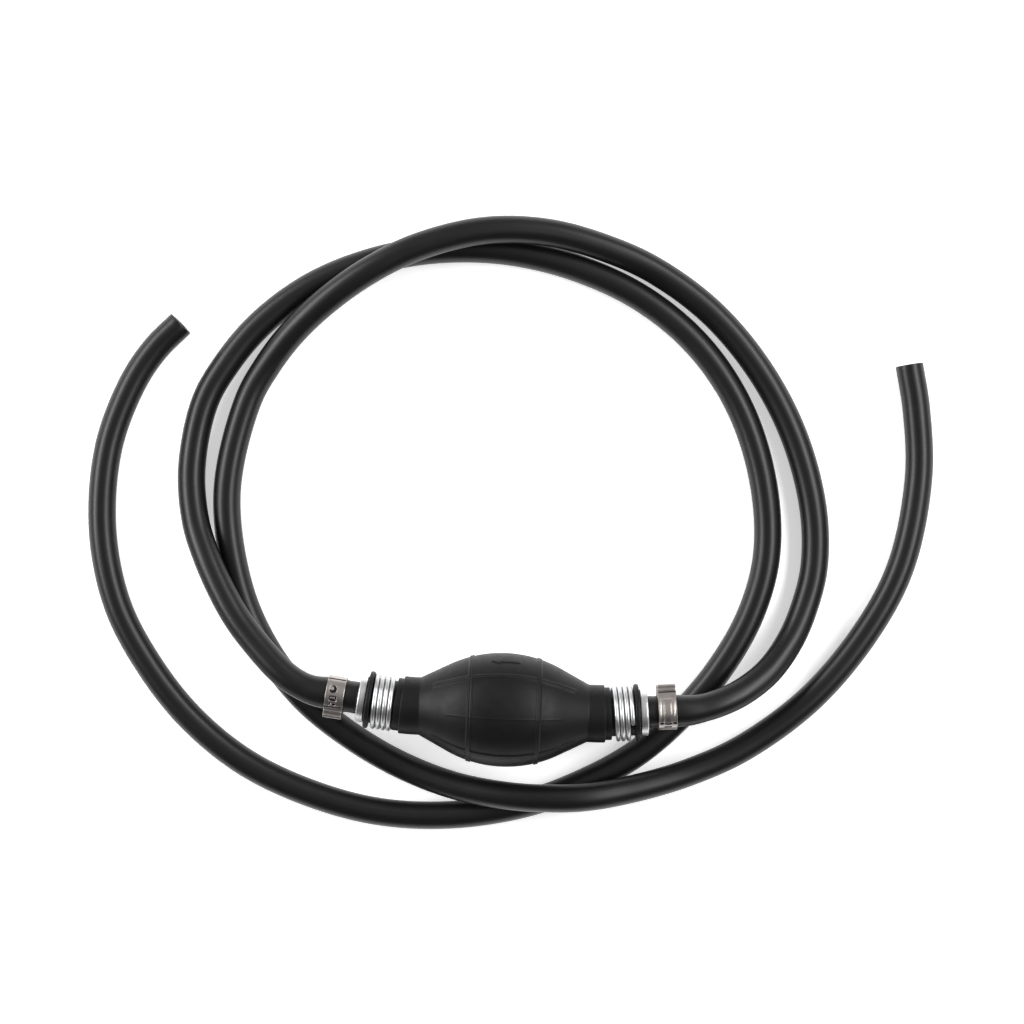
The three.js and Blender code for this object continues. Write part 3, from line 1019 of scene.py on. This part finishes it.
OUTLET_ROUTE = [
    (-84.5, 5.4, 24.3), (-91.2, 8.5, 24), (-97.6, 13.2, 23.2), (-107.4, 22.8, 21),
    (-116.4, 33.2, 18.9), (-123.5, 44, 17), (-131.6, 59.3, 14), (-137.8, 75, 10.2), (-141, 98, 6.7),
    (-136.7, 126.9, 6.1), (-127.6, 144.7, 6.1), (-113.7, 162.6, 6.1), (-92.8, 179.6, 6.1),
    (-68, 191.3, 6.1), (-40, 198, 6.1), (-9, 199, 6.1), (22, 193.4, 6.1), (52.8, 180.7, 6.1),
    (78.8, 160.7, 6.1), (98, 134, 6.1), (109.3, 102, 6.1), (112, 71, 6.1), (106.2, 45, 6.1),
    (94, 21, 6.1), (78, 0, 6.1), (59, -18, 6.1), (36, -32, 6.1), (12, -42, 6.1), (-20, -48.5, 6.1),
    (-53, -48.5, 6.1), (-84, -41.5, 6.1), (-113, -29, 6.1), (-138, -10, 6.1), (-158, 14, 6.1),
    (-171.4, 38, 6.1), (-179, 70, 6.1), (-177.8, 106, 6.1), (-168.2, 135, 6.1),
    (-158.8, 150.2, 6.1), (-148.6, 161.2, 6.1),
]
INLET_ROUTE = [
    (84, 4, 24.2), (92, 6.6, 23.3), (102.5, 11.8, 20.6), (114, 21, 15.8), (123.5, 34.5, 10.2),
    (129.5, 49.5, 7), (133, 67, 6.2), (131.5, 92, 6.1), (122, 123, 6.1), (106, 151, 6.1),
    (84, 175.4, 6.3), (59, 192.4, 7.6), (38, 200.9, 10.2), (10, 207, 14), (-18, 206.1, 17.2),
    (-46, 197.7, 18.6), (-66, 186.9, 18.4), (-84, 173.5, 15.9), (-99, 159, 11.4), (-110, 144, 7.7),
    (-118, 128, 6.3), (-125.2, 88, 6.1), (-118, 47, 6.1), (-104.8, 20.2, 6.1), (-87.4, -0.4, 6.1),
    (-66.7, -15.7, 6.2), (-44, -27.5, 7.5), (-20, -35, 12), (3, -37.8, 17), (20, -38, 18.9),
    (36, -37, 18.4), (57, -33, 13.6), (82, -25.2, 8.3), (106, -13.3, 6.3), (134.4, 9.7, 6.1),
    (157.3, 39.8, 6.1), (171, 69, 6.1), (177, 108, 6.1), (174.8, 137, 6.1), (170.8, 157, 6.1),
]


# ---- the bulb ----------------------------------------------------------------------------------


@dataclass
class Bulb:
    """The moulded bulb with its ribs, flow arrow, collars, necks and mouth beads."""

    radius: float = 24.4
    arc_radius: float = 52.5
    shoulder_x: float = 24.5
    collar_radius: float = 12.35
    collar_x: float = 36.1
    neck_x: float = 44.0
    neck_radius: float = 11.3
    groove_x: float = 46.8
    groove_radius: float = 9.8
    bead_x: float = 57.0
    bead_radius: float = 12.3
    mouth_x: float = 59.1
    wall: float = 2.6
    bore: float = 8.0
    ring_rib_x: float = 14.6
    rib_height: float = 0.5
    rib_half: float = 0.9
    long_rib_x: float = 31.0
    roll: float = -4.7
    arrow_degrees: float = 62.0
    press_from: float = 10.5
    press_to: float = 27.0
    rib_degrees: tuple[float, ...] = (45.0, -45.0, 135.0, -135.0)
    rib_edge: float = 0.55
    rib_dip: float = 0.22
    dip_width: float = 0.32
    seam_height: float = 0.10
    seam_width: float = 0.22
    seam_x: float = 26.0
    arrow_height: float = 0.38
    outer_step: float = 0.6
    inner_step: float = 3.5
    plain_step: float = 2.2
    closest_step: float = 0.36

    def outline(self, x: np.ndarray) -> np.ndarray:
        """Radius of the plain outside from the middle of the bulb to its collars.

        Args:
            x: places along the axis.

        Returns:
            The radius at each.
        """
        along = np.abs(x)
        flat = np.sqrt(self.arc_radius**2 - np.minimum(along, self.shoulder_x) ** 2)
        round_part = self.radius - self.arc_radius + flat
        share = np.clip((along - self.shoulder_x) / (self.collar_x - self.shoulder_x), 0, 1)
        return round_part + (self.collar_radius - round_part) * share

    def outer_half(self) -> np.ndarray:
        """The outside from the middle to the mouth, as x and radius."""
        near_ring = self.ring_rib_x + np.arange(-1.4, 1.41, 0.2)
        arc_x = np.union1d(np.arange(0, self.shoulder_x + 0.01, 0.5), near_ring.round(1))
        arc = np.stack([arc_x, self.outline(arc_x)], -1)
        corners = [
            tuple(arc[-1]),
            (self.collar_x, self.collar_radius),
            (self.neck_x, self.collar_radius),
            (self.neck_x, self.neck_radius),
            (self.groove_x, self.neck_radius),
            (self.groove_x, self.groove_radius),
            (self.bead_x, self.groove_radius),
            (self.bead_x, self.bead_radius),
            (self.mouth_x, self.bead_radius),
            (self.mouth_x, self.bore),
        ]
        radii = [0, 1.6, 0.7, 0.35, 0.3, 0.3, 0.3, 0.9, 0.9, 0]
        return np.vstack([arc[:-1], rounded(corners, radii)])

    def inner_half(self) -> np.ndarray:
        """The inside from the middle to the mouth, as x and radius."""
        arc_x = np.arange(0, self.shoulder_x + 0.01, self.inner_step)
        arc = np.stack([arc_x, self.outline(arc_x) - self.wall], -1)
        corners = [tuple(arc[-1]), (self.collar_x, self.bore), (self.mouth_x - 0.5, self.bore)]
        return np.vstack([arc[:-1], rounded(corners, [0, 2.0, 0])])

    def angles(self) -> np.ndarray:
        """Angles round the axis from +Z towards +Y, closer together at the ribs and the arrow."""
        close = [np.arange(0, 360, self.plain_step)]
        for rib in self.rib_degrees:
            close.append(rib + self.roll + np.arange(-3.3, 3.31, 0.55))
        for seam in (self.roll, self.roll + 180):
            close.append(seam + np.arange(-1.2, 1.21, 0.4))
        close.append(self.arrow_degrees + np.arange(-7.2, 7.21, 0.48))
        merged = np.sort(np.concatenate(close) % 360)
        kept = [merged[0]]
        for angle in merged[1:]:
            if angle - kept[-1] > self.closest_step:
                kept.append(angle)
        return np.radians(np.array(kept))

    def arrow(self, x: np.ndarray, across: np.ndarray) -> np.ndarray:
        """Height from 0 to 1 of the flow arrow, which points to the outlet.

        Args:
            x: places along the axis.
            across: places across the arrow.

        Returns:
            The height at each.
        """
        tip, base, tail = -6.2, -2.1, 6.2
        half_head, half_shaft = 2.3, 1.0
        slope = math.hypot(base - tip, half_head)
        side = (np.abs(across) * (base - tip) - (x - tip) * half_head) / slope
        head = np.maximum(side, x - base)
        shaft = np.maximum(np.abs(across) - half_shaft, np.maximum(base - 0.3 - x, x - tail))
        return smooth_step(0.5 - np.minimum(head, shaft) / 0.3)

    def relief(self, x: np.ndarray, angle: np.ndarray) -> np.ndarray:
        """Height of everything that stands proud of the plain outside.

        Args:
            x: places along the axis.
            angle: angles from +Z towards +Y.

        Returns:
            The height at each, in millimetres.
        """
        around = self.outline(x)
        off_ring = np.abs(x) - self.ring_rib_x
        dip = self.rib_dip * np.exp(-((off_ring / self.dip_width) ** 2))
        height = self.rib_height * raised_band(off_ring, self.rib_half, self.rib_edge) * (1 - dip)
        for rib in self.rib_degrees:
            away = around * turned_from(angle, rib + self.roll)
            dip = self.rib_dip * np.exp(-((away / self.dip_width) ** 2))
            fade = smooth_step((self.long_rib_x - np.abs(x)) / 1.4)
            long_rib = self.rib_height * raised_band(away, self.rib_half, self.rib_edge) * (1 - dip)
            height = np.maximum(height, long_rib * fade)
        for seam in (self.roll, self.roll + 180):
            away = around * turned_from(angle, seam)
            line = self.seam_height * np.exp(-((away / self.seam_width) ** 2))
            height = height + line * smooth_step((self.seam_x - np.abs(x)) / 3.0)
        away = around * turned_from(angle, self.arrow_degrees)
        return height + self.arrow_height * self.arrow(x, away)

    def surface(self) -> Surface:
        """The whole wall, outside and inside, in the part's frame."""
        outer = filled_in(self.outer_half(), self.outer_step)
        inner = filled_in(self.inner_half(), self.inner_step)
        profile = np.vstack(
            [outer[:0:-1] * (-1, 1), outer, inner[::-1], inner[1:] * (-1, 1)]
        )
        angles = self.angles()
        x = np.repeat(profile[:, :1], len(angles), 1)
        radius = np.repeat(profile[:, 1:], len(angles), 1)
        outside = np.arange(len(profile)) < 2 * len(outer) - 1
        lifted = outside & (np.abs(profile[:, 0]) < self.collar_x)
        radius[lifted] += self.relief(x, np.broadcast_to(angles, x.shape))[lifted]
        points = np.stack([x, radius * np.sin(angles), radius * np.cos(angles)], -1)
        around = np.append(angles, angles[0] + 2 * math.pi) * self.radius
        return grid_surface(LEAN.bent(points), line_marks(profile, True), around, True, True)

    def build(self, finishes: Finishes) -> None:
        """Makes the bulb as one skin.

        Args:
            finishes: the pump's materials.
        """
        made = make_piece("bulb_rubber_skin", self.surface(), [finishes.bulb])
        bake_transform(made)
        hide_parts("bulb", "bulb_crown")
        LOG.info("bulb: %d points", len(made.data.vertices))


# ---- the hose tails ----------------------------------------------------------------------------


@dataclass
class HoseTail:
    """One turned hose tail: barrel, flange and three barbs on one bore."""

    end: End
    barrel_start: float = 45.4
    flange_start: float = 59.4
    flange_end: float = 62.7
    flange_radius: float = 10.0
    barrel_radius: float = 7.7
    barrel_bore: float = 6.0
    shoulder_x: float = 57.5
    root_radius: float = 4.0
    barb_radius: float = 4.8
    barb_pitch: float = 4.4
    barbs: int = 3
    tail_end: float = 77.0
    bore: float = 2.7
    sides: int = 128

    def profile(self) -> np.ndarray:
        """The closed profile, with its edges broken as on a lathe."""
        points = [(self.barrel_start, self.barrel_radius, 0.3)]
        for start in (4.0, 8.0):
            x = self.barrel_start + start
            points += [
                (x, self.barrel_radius, 0.1),
                (x + 0.5, self.barrel_radius - 0.5, 0.1),
                (x + 1.0, self.barrel_radius, 0.1),
            ]
        points += [
            (self.flange_start, self.barrel_radius, 0.15),
            (self.flange_start, self.flange_radius, 0.55),
            (self.flange_end, self.flange_radius, 0.75),
            (self.flange_end, self.root_radius, 0.2),
        ]
        for i in range(self.barbs, 0, -1):
            crest = self.tail_end - i * self.barb_pitch
            points += [
                (crest, self.root_radius, 0.1),
                (crest, self.barb_radius, 0.12),
                (crest + self.barb_pitch * 0.8, self.root_radius, 0.3),
            ]
        points += [
            (self.tail_end, self.root_radius, 0.4),
            (self.tail_end, self.bore, 0.2),
            (self.shoulder_x, self.bore, 0.15),
            (self.shoulder_x, self.barrel_bore, 0.15),
            (self.barrel_start, self.barrel_bore, 0.2),
        ]
        line = rounded([(x, r) for x, r, _ in points], [edge for _, _, edge in points], True)
        return filled_in(line, 1.0, True)

    def build(self, finishes: Finishes) -> None:
        """Makes the hose tail.

        Args:
            finishes: the pump's materials.
        """
        name = f"{self.end.prefix}_hose_tail"
        surface = LEAN.placed_surface(turned(self.profile(), self.sides), self.end)
        made = make_piece(f"{name}_turned", surface, [finishes.turned])
        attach(made, "pump_body")
        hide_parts(name)
        LOG.info("%s: turned", name)


# ---- the clamps --------------------------------------------------------------------------------


@dataclass
class WireClamp:
    """One close-wound wire clamp in the groove of a neck."""

    end: End
    start_degrees: float
    turns: float = 3.6
    wire_radius: float = 1.02
    coil_radius: float = 11.02
    pitch: float = 2.25
    groove_middle: float = 51.9
    sides: int = 24
    steps: int = 110

    def build(self, finishes: Finishes) -> None:
        """Makes the clamp.

        Args:
            finishes: the pump's materials.
        """
        start = math.radians(self.start_degrees)
        line = helix(
            self.coil_radius, self.pitch, self.turns, start=start, hand=-1, steps=self.steps
        )
        line[:, 0] += self.groove_middle - self.pitch * self.turns / 2
        surface = LEAN.placed_surface(wire(line, self.wire_radius, self.sides), self.end)
        name = f"{self.end.prefix}_wire_clamp"
        made = make_piece(f"{name}_coil", surface, [finishes.wire])
        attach(made, "pump_body")
        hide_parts(name)
        LOG.info("%s: %.1f turns", name, self.turns)


@dataclass
class EarClamp:
    """One stainless band with a pinched ear, which points to the end's own +Y.

    The ear's upper half is a line of y, z and corner radius that runs out from the ring.
    """

    end: End
    centre_x: float
    face: EarFace
    foot_degrees: float
    ear: tuple[tuple[float, float, float], ...]
    inner_radius: float = 7.15
    thickness: float = 0.7
    half_width: float = 4.0
    gap_depth: float = 0.22
    window_depth: float = 0.60
    shoulder_height: float = 0.58
    tab_height: float = 0.26
    edge: float = 0.22
    face_above: float = 1.2
    step: float = 0.13
    back_step: float = 0.5
    ring_points: int = 110
    columns: int = 72

    def outline(self, inset: float, step: float) -> np.ndarray:
        """The band's section: a ring open under the ear, and the ear's loop.

        Args:
            inset: how far inside the outer face the line lies.
            step: widest gap between points.

        Returns:
            Points of y and z, once round from the ear's upper foot.
        """
        ring = self.inner_radius + self.thickness - inset
        foot = math.radians(90 - self.foot_degrees)
        angles = np.linspace(foot, 2 * math.pi - foot, self.ring_points)
        arc = [(ring * math.cos(a), ring * math.sin(a)) for a in angles]
        reach = self.ear[-1][0]
        upper = [(min(y, reach - inset), z - inset) for y, z, _ in self.ear]
        corners = [corner for _, _, corner in self.ear]
        lower = [(y, -z) for y, z in upper]
        radii = [0.0] * len(arc) + corners + corners[::-1]
        return filled_in(rounded(arc + lower + upper[::-1], radii, True, 6), step, True)

    def channel_face(self, y: np.ndarray, x: np.ndarray) -> tuple[np.ndarray, np.ndarray]:
        """Relief with two raised shoulders that hook outwards beside a straight channel.

        Args:
            y: place round the band, as seen from above.
            x: place across the band.

        Returns:
            The height in millimetres, and a mask from 0 to 1 of the pressed lines and spots, which
            take black rubber as painted shade.
        """
        inner = 1.5 + 2.3 * smooth_step((y - 3.6) / 2.6) ** 1.5
        length = smooth_step((y + 4.1) / 0.4) * smooth_step((6.3 - y) / 0.5)
        height = self.shoulder_height * smooth_step((np.abs(x) - inner) / 0.45 + 0.5) * length
        height = height - 0.20 * raised_band(np.abs(x) - 2.95, 0.2, 0.2) * length
        height = height + 0.14 * (raised_band(y - 9.5, 0.25, 0.3) + raised_band(y - 11.0, 0.3, 0.3))
        spot = np.hypot((np.abs(x) - 2.8) / 0.95, (y + 4.55) / 0.42)
        channel = smooth_step((1.75 - np.abs(x)) / 0.3)
        # These spots and lines are painted black as shade on the band's face.
        gaps_and_painted_shade = smooth_step((1.15 - spot) / 0.3)
        gaps_and_painted_shade = np.maximum(gaps_and_painted_shade, raised_band(y + 4.95 - 0.14 * x**2, 0.28, 0.2) * channel)
        gaps_and_painted_shade = np.maximum(gaps_and_painted_shade, raised_band(y + 6.25, 0.22, 0.15) * channel)
        gaps_and_painted_shade = np.maximum(gaps_and_painted_shade, raised_band(y - 8.65, 0.22, 0.15))
        return height - self.gap_depth * gaps_and_painted_shade, gaps_and_painted_shade

    def hooks_face(self, y: np.ndarray, x: np.ndarray) -> tuple[np.ndarray, np.ndarray]:
        """Relief with three windows in a row, each with a bright tab that holds the layer below.

        Args:
            y: place round the band, as seen from above.
            x: place across the band.

        Returns:
            The height in millimetres, and a mask from 0 to 1 of the windows, which show the hose
            rubber, and of the seam lines, which take black rubber as painted shade.
        """
        height = 0.16 * raised_band(y - 6.9, 0.22, 0.35) + 0.14 * raised_band(y - 8.6, 0.2, 0.3)
        # The foot line and the lower seam are painted black as shade; the windows below show the
        # hose rubber.
        gaps_and_painted_shade = np.maximum(
            raised_band(y - 5.12 - 0.03 * x, 0.36, 0.14), raised_band(y + 6.85, 0.2, 0.14)
        )
        windows = np.zeros_like(gaps_and_painted_shade)
        for middle_x, middle_y, half_x, half_y, corner in (
            (0.95, -2.65, 1.55, 1.50, 1.25),
            (0.55, 1.33, 1.55, 1.12, 0.45),
            (0.6, 4.0, 1.45, 0.66, 0.5),
        ):
            away_x = np.maximum(np.abs(x - middle_x) - half_x + corner, 0)
            away_y = np.maximum(np.abs(y - middle_y) - half_y + corner, 0)
            inside = 0.5 - (np.hypot(away_x, away_y) - corner) / 0.2
            windows = np.maximum(windows, smooth_step(inside))
        hook = smooth_step(0.5 - (np.hypot((x - 1.45) / 1.1, (y + 2.95) / 1.2) - 0.75) / 0.25)
        bar = raised_band(y - 0.95, 0.42, 0.2) * raised_band(x - 0.6, 1.0, 0.25)
        dot = smooth_step(0.5 - (np.hypot(x - 0.95, (y - 3.85) / 0.8) - 0.45) / 0.25)
        tabs = np.maximum(np.maximum(hook, bar), dot)
        windows = windows * (1 - tabs)
        height = height - self.gap_depth * gaps_and_painted_shade * (1 - windows) - self.window_depth * windows
        return height + self.tab_height * tabs, np.maximum(gaps_and_painted_shade, windows)

    def pressed(self, y: np.ndarray, x: np.ndarray) -> tuple[np.ndarray, np.ndarray]:
        """Relief of the band's outer face.

        Args:
            y: place round the band, as seen from above.
            x: place across the band.

        Returns:
            The height in millimetres, and a mask from 0 to 1 of windows that show the hose rubber
            and of lines painted black as shade.
        """
        if self.face is EarFace.CHANNEL:
            return self.channel_face(y, x)
        return self.hooks_face(y, x)

    def surface(self) -> Surface:
        """The band with its pressed face, in the end's own frame."""
        line = self.outline(0.0, self.step)
        back = self.outline(self.thickness, self.back_step)
        ahead = np.roll(line, -1, 0) - np.roll(line, 1, 0)
        normal = np.stack([ahead[:, 1], -ahead[:, 0]], -1)
        normal /= np.linalg.norm(normal, axis=1)[:, None]
        edge, half = self.edge, self.half_width
        x = np.linspace(-half + edge, half - edge, self.columns)
        height, gaps_and_painted_shade = self.pressed(line[:, :1], x[None, :])
        below = line[:, 1] < self.face_above
        height[below] = 0
        gaps_and_painted_shade[below] = 0
        rim = [(-half, -self.thickness + edge), (-half, -edge), (-half + edge * 0.3, -edge * 0.3)]
        before = [np.full(len(line), drop) for _, drop in rim]
        after = [np.full(len(line), drop) for _, drop in reversed(rim)]
        drop = np.concatenate([np.array(before).T, height, np.array(after).T], 1)
        across = np.array([a for a, _ in rim] + list(x) + [-a for a, _ in reversed(rim)])
        section = line[:, None, :] + normal[:, None, :] * drop[..., None]
        points = np.concatenate(
            [np.broadcast_to(across[None, :, None], (*drop.shape, 1)), section], -1
        )
        surface = grid_surface(points, line_marks(line, True), line_marks(across[:, None]), True)
        # Faces over the windows take the hose rubber seen through them; faces in the seam lines
        # take the same black rubber as painted shade.
        dark = np.pad(gaps_and_painted_shade, ((0, 0), (len(rim), len(rim))))
        surface.slots = (dark[:, :-1] > 0.5).astype(int).ravel()
        inside = np.array([-half, half])
        back_points = np.concatenate(
            [
                np.broadcast_to(inside[None, :, None], (len(back), 2, 1)),
                np.broadcast_to(back[:, None, :], (len(back), 2, 2)),
            ],
            -1,
        )[:, ::-1]
        lining = grid_surface(back_points, line_marks(back, True), inside - inside[0], True)
        return surface.joined(lining)

    def build(self, finishes: Finishes) -> None:
        """Makes the clamp.

        Args:
            finishes: the pump's materials.
        """
        surface = self.surface()
        surface.points = surface.points + (self.centre_x, 0.0, 0.0)
        name = f"{self.end.prefix}_ear_clamp"
        # The second slot, the hose rubber, fills the windows and paints shade into the seam lines.
        made = make_piece(
            f"{name}_band",
            LEAN.placed_surface(surface, self.end),
            [finishes.band, finishes.hose],
        )
        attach(made, "pump_body")
        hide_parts(name)
        LOG.info("%s: %s", name, self.face.value)


# ---- the valves --------------------------------------------------------------------------------


@dataclass
class Valve:
    """One one-way valve: body, seal ring, poppet, spring and cage, all inside a hose tail."""

    end: End
    length: float = 11.6
    radius: float = 5.7
    bore: float = 4.9
    seat_thickness: float = 1.6
    seat_hole: float = 2.4
    seal_x: tuple[float, float] = (1.9, 2.9)
    seal_radius: tuple[float, float] = (2.9, 4.5)
    poppet_x: tuple[float, float] = (3.2, 4.4)
    poppet_radius: float = 4.0
    nose: float = 0.9
    stem_radius: float = 0.9
    stem_length: float = 6.4
    spring_x: tuple[float, float] = (4.7, 9.5)
    spring_radius: float = 2.1
    spring_wire: float = 0.25
    spring_turns: float = 4.0
    inner_x: float = 45.6
    sides: int = 96
    spring_steps: int = 48
    spring_sides: int = 12

    def put(self, points: np.ndarray) -> np.ndarray:
        """Points of the valve's own frame, which runs with the flow, in the part's frame."""
        moved = points.copy()
        if self.end is End.INLET:
            moved = moved * (-1, -1, 1)
            moved[..., 0] += self.inner_x + self.length
        else:
            moved[..., 0] += self.inner_x
        return LEAN.placed(moved, self.end)

    def make(
        self,
        word: str,
        surface: Surface,
        material: bpy.types.Material,
        weld: bool = False,
    ) -> bpy.types.Object:
        """Makes one piece of the valve in the place of its CAD node.

        Args:
            word: last part of the node's name.
            surface: the piece in the valve's own frame.
            material: its finish.
            weld: whether its points on the axis are welded.

        Returns:
            The object.
        """
        node = f"{self.end.prefix}_{word}"
        placed = Surface(self.put(surface.points), surface.corners, surface.uvs, surface.slots)
        made = make_piece(f"{node}_made", placed, [material], weld)
        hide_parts(node)
        return made

    def poppet_profile(self) -> np.ndarray:
        """Outline of the poppet from its nose to the tip of its stem."""
        face, back = self.poppet_x
        tip = back + self.stem_length
        corners = [
            (face - self.nose, 0.0),
            (face - self.nose + 0.35, 0.55),
            (face, self.stem_radius),
            (face, self.poppet_radius),
            (back, self.poppet_radius),
            (back, self.stem_radius),
            (tip, self.stem_radius),
            (tip + 0.5, 0.0),
        ]
        return rounded(corners, [0, 0.3, 0.2, 0.3, 0.2, 0.25, 0.3, 0])

    def build(self, finishes: Finishes) -> None:
        """Makes the valve's pieces.

        Args:
            finishes: the pump's materials.
        """
        cup = rounded(
            [
                (0, self.radius), (self.length, self.radius), (self.length, self.bore),
                (self.seat_thickness, self.bore), (self.seat_thickness, self.seat_hole),
                (0, self.seat_hole),
            ],
            0.15,
            True,
        )
        body = self.make(
            "valve_body", turned(filled_in(cup, 1.0, True), self.sides), finishes.acetal
        )
        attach(body, "pump_body")
        (near, far), (hole, rim) = self.seal_x, self.seal_radius
        ring = rounded([(near, rim), (far, rim), (far, hole), (near, hole)], 0.4, True)
        seal = self.make("seal_ring", turned(ring, self.sides), finishes.nitrile)
        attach(seal, "pump_body")
        line = self.poppet_profile()
        outline = turned(np.vstack([line, line[::-1] * (1, 0)]), self.sides)
        outline.corners = outline.corners[: (len(line) - 1) * self.sides]
        outline.uvs = outline.uvs[: len(outline.corners) * 4]
        outline.slots = outline.slots[: len(outline.corners)]
        outline.points = outline.points[: len(line) * self.sides]
        poppet = self.make("poppet", outline, finishes.acetal, weld=True)
        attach(poppet, f"{self.end.prefix}_poppet")
        first, last = self.spring_x
        span = last - first - 2 * self.spring_wire
        pitch = span / self.spring_turns
        coil = helix(
            self.spring_radius, pitch, self.spring_turns, start=0.0, hand=1, steps=self.spring_steps
        )
        coil[:, 0] += first + self.spring_wire
        spring = self.make(
            "valve_spring",
            wire(coil, self.spring_wire, self.spring_sides),
            finishes.spring,
        )
        ends = self.put(np.array([[last, 0.0, 0.0], [first, 0.0, 0.0]])) * MM
        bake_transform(spring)
        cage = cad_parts[f"{self.end.prefix}_valve_cage"]
        for material_slot in cage.material_slots:
            material_slot.material = finishes.acetal
        LOG.info("%s valve: body, seal ring, poppet, spring and cage", self.end.prefix)


# ---- the whole pump ----------------------------------------------------------------------------


@dataclass(frozen=True)
class EndPlan:
    """What differs between the two ends of the pump."""

    end: End
    hose_route: Sequence[tuple[float, float, float]]
    hose_length: float
    clamp_x: float
    coil_start_degrees: float
    ear_face: EarFace
    ear_foot_degrees: float
    ear: tuple[tuple[float, float, float], ...]


INLET_PLAN = EndPlan(
    end=End.INLET,
    hose_route=INLET_ROUTE,
    hose_length=1.02,
    clamp_x=71.0,
    coil_start_degrees=194.0,
    ear_face=EarFace.CHANNEL,
    ear_foot_degrees=53.0,
    ear=((8.6, 3.3, 0.4), (9.1, 3.1, 0.2), (11.8, 3.0, 0.4)),
)
OUTLET_PLAN = EndPlan(
    end=End.OUTLET,
    hose_route=OUTLET_ROUTE,
    hose_length=1.03,
    clamp_x=72.6,
    coil_start_degrees=110.0,
    ear_face=EarFace.HOOKS,
    ear_foot_degrees=45.0,
    ear=((8.6, 4.7, 0.8), (10.0, 3.9, 0.8)),
)


def main() -> None:
    """Builds the studio and the pump."""
    logging.basicConfig(level=logging.INFO, format="%(name)s %(message)s")
    studio = Studio()
    studio.camera()
    finishes = Finishes.made()
    for plan in (OUTLET_PLAN, INLET_PLAN):
        Hose(plan.end, plan.hose_route, plan.hose_length, plan.clamp_x).build(finishes)
    studio.build()
    Bulb().build(finishes)
    plans = (INLET_PLAN, OUTLET_PLAN)
    for plan in plans:
        HoseTail(plan.end).build(finishes)
        Valve(plan.end).build(finishes)
    for plan in plans:
        WireClamp(plan.end, plan.coil_start_degrees).build(finishes)
    for plan in plans:
        EarClamp(
            plan.end, plan.clamp_x, plan.ear_face, plan.ear_foot_degrees, plan.ear
        ).build(finishes)


if __name__ == "__main__":
    main()
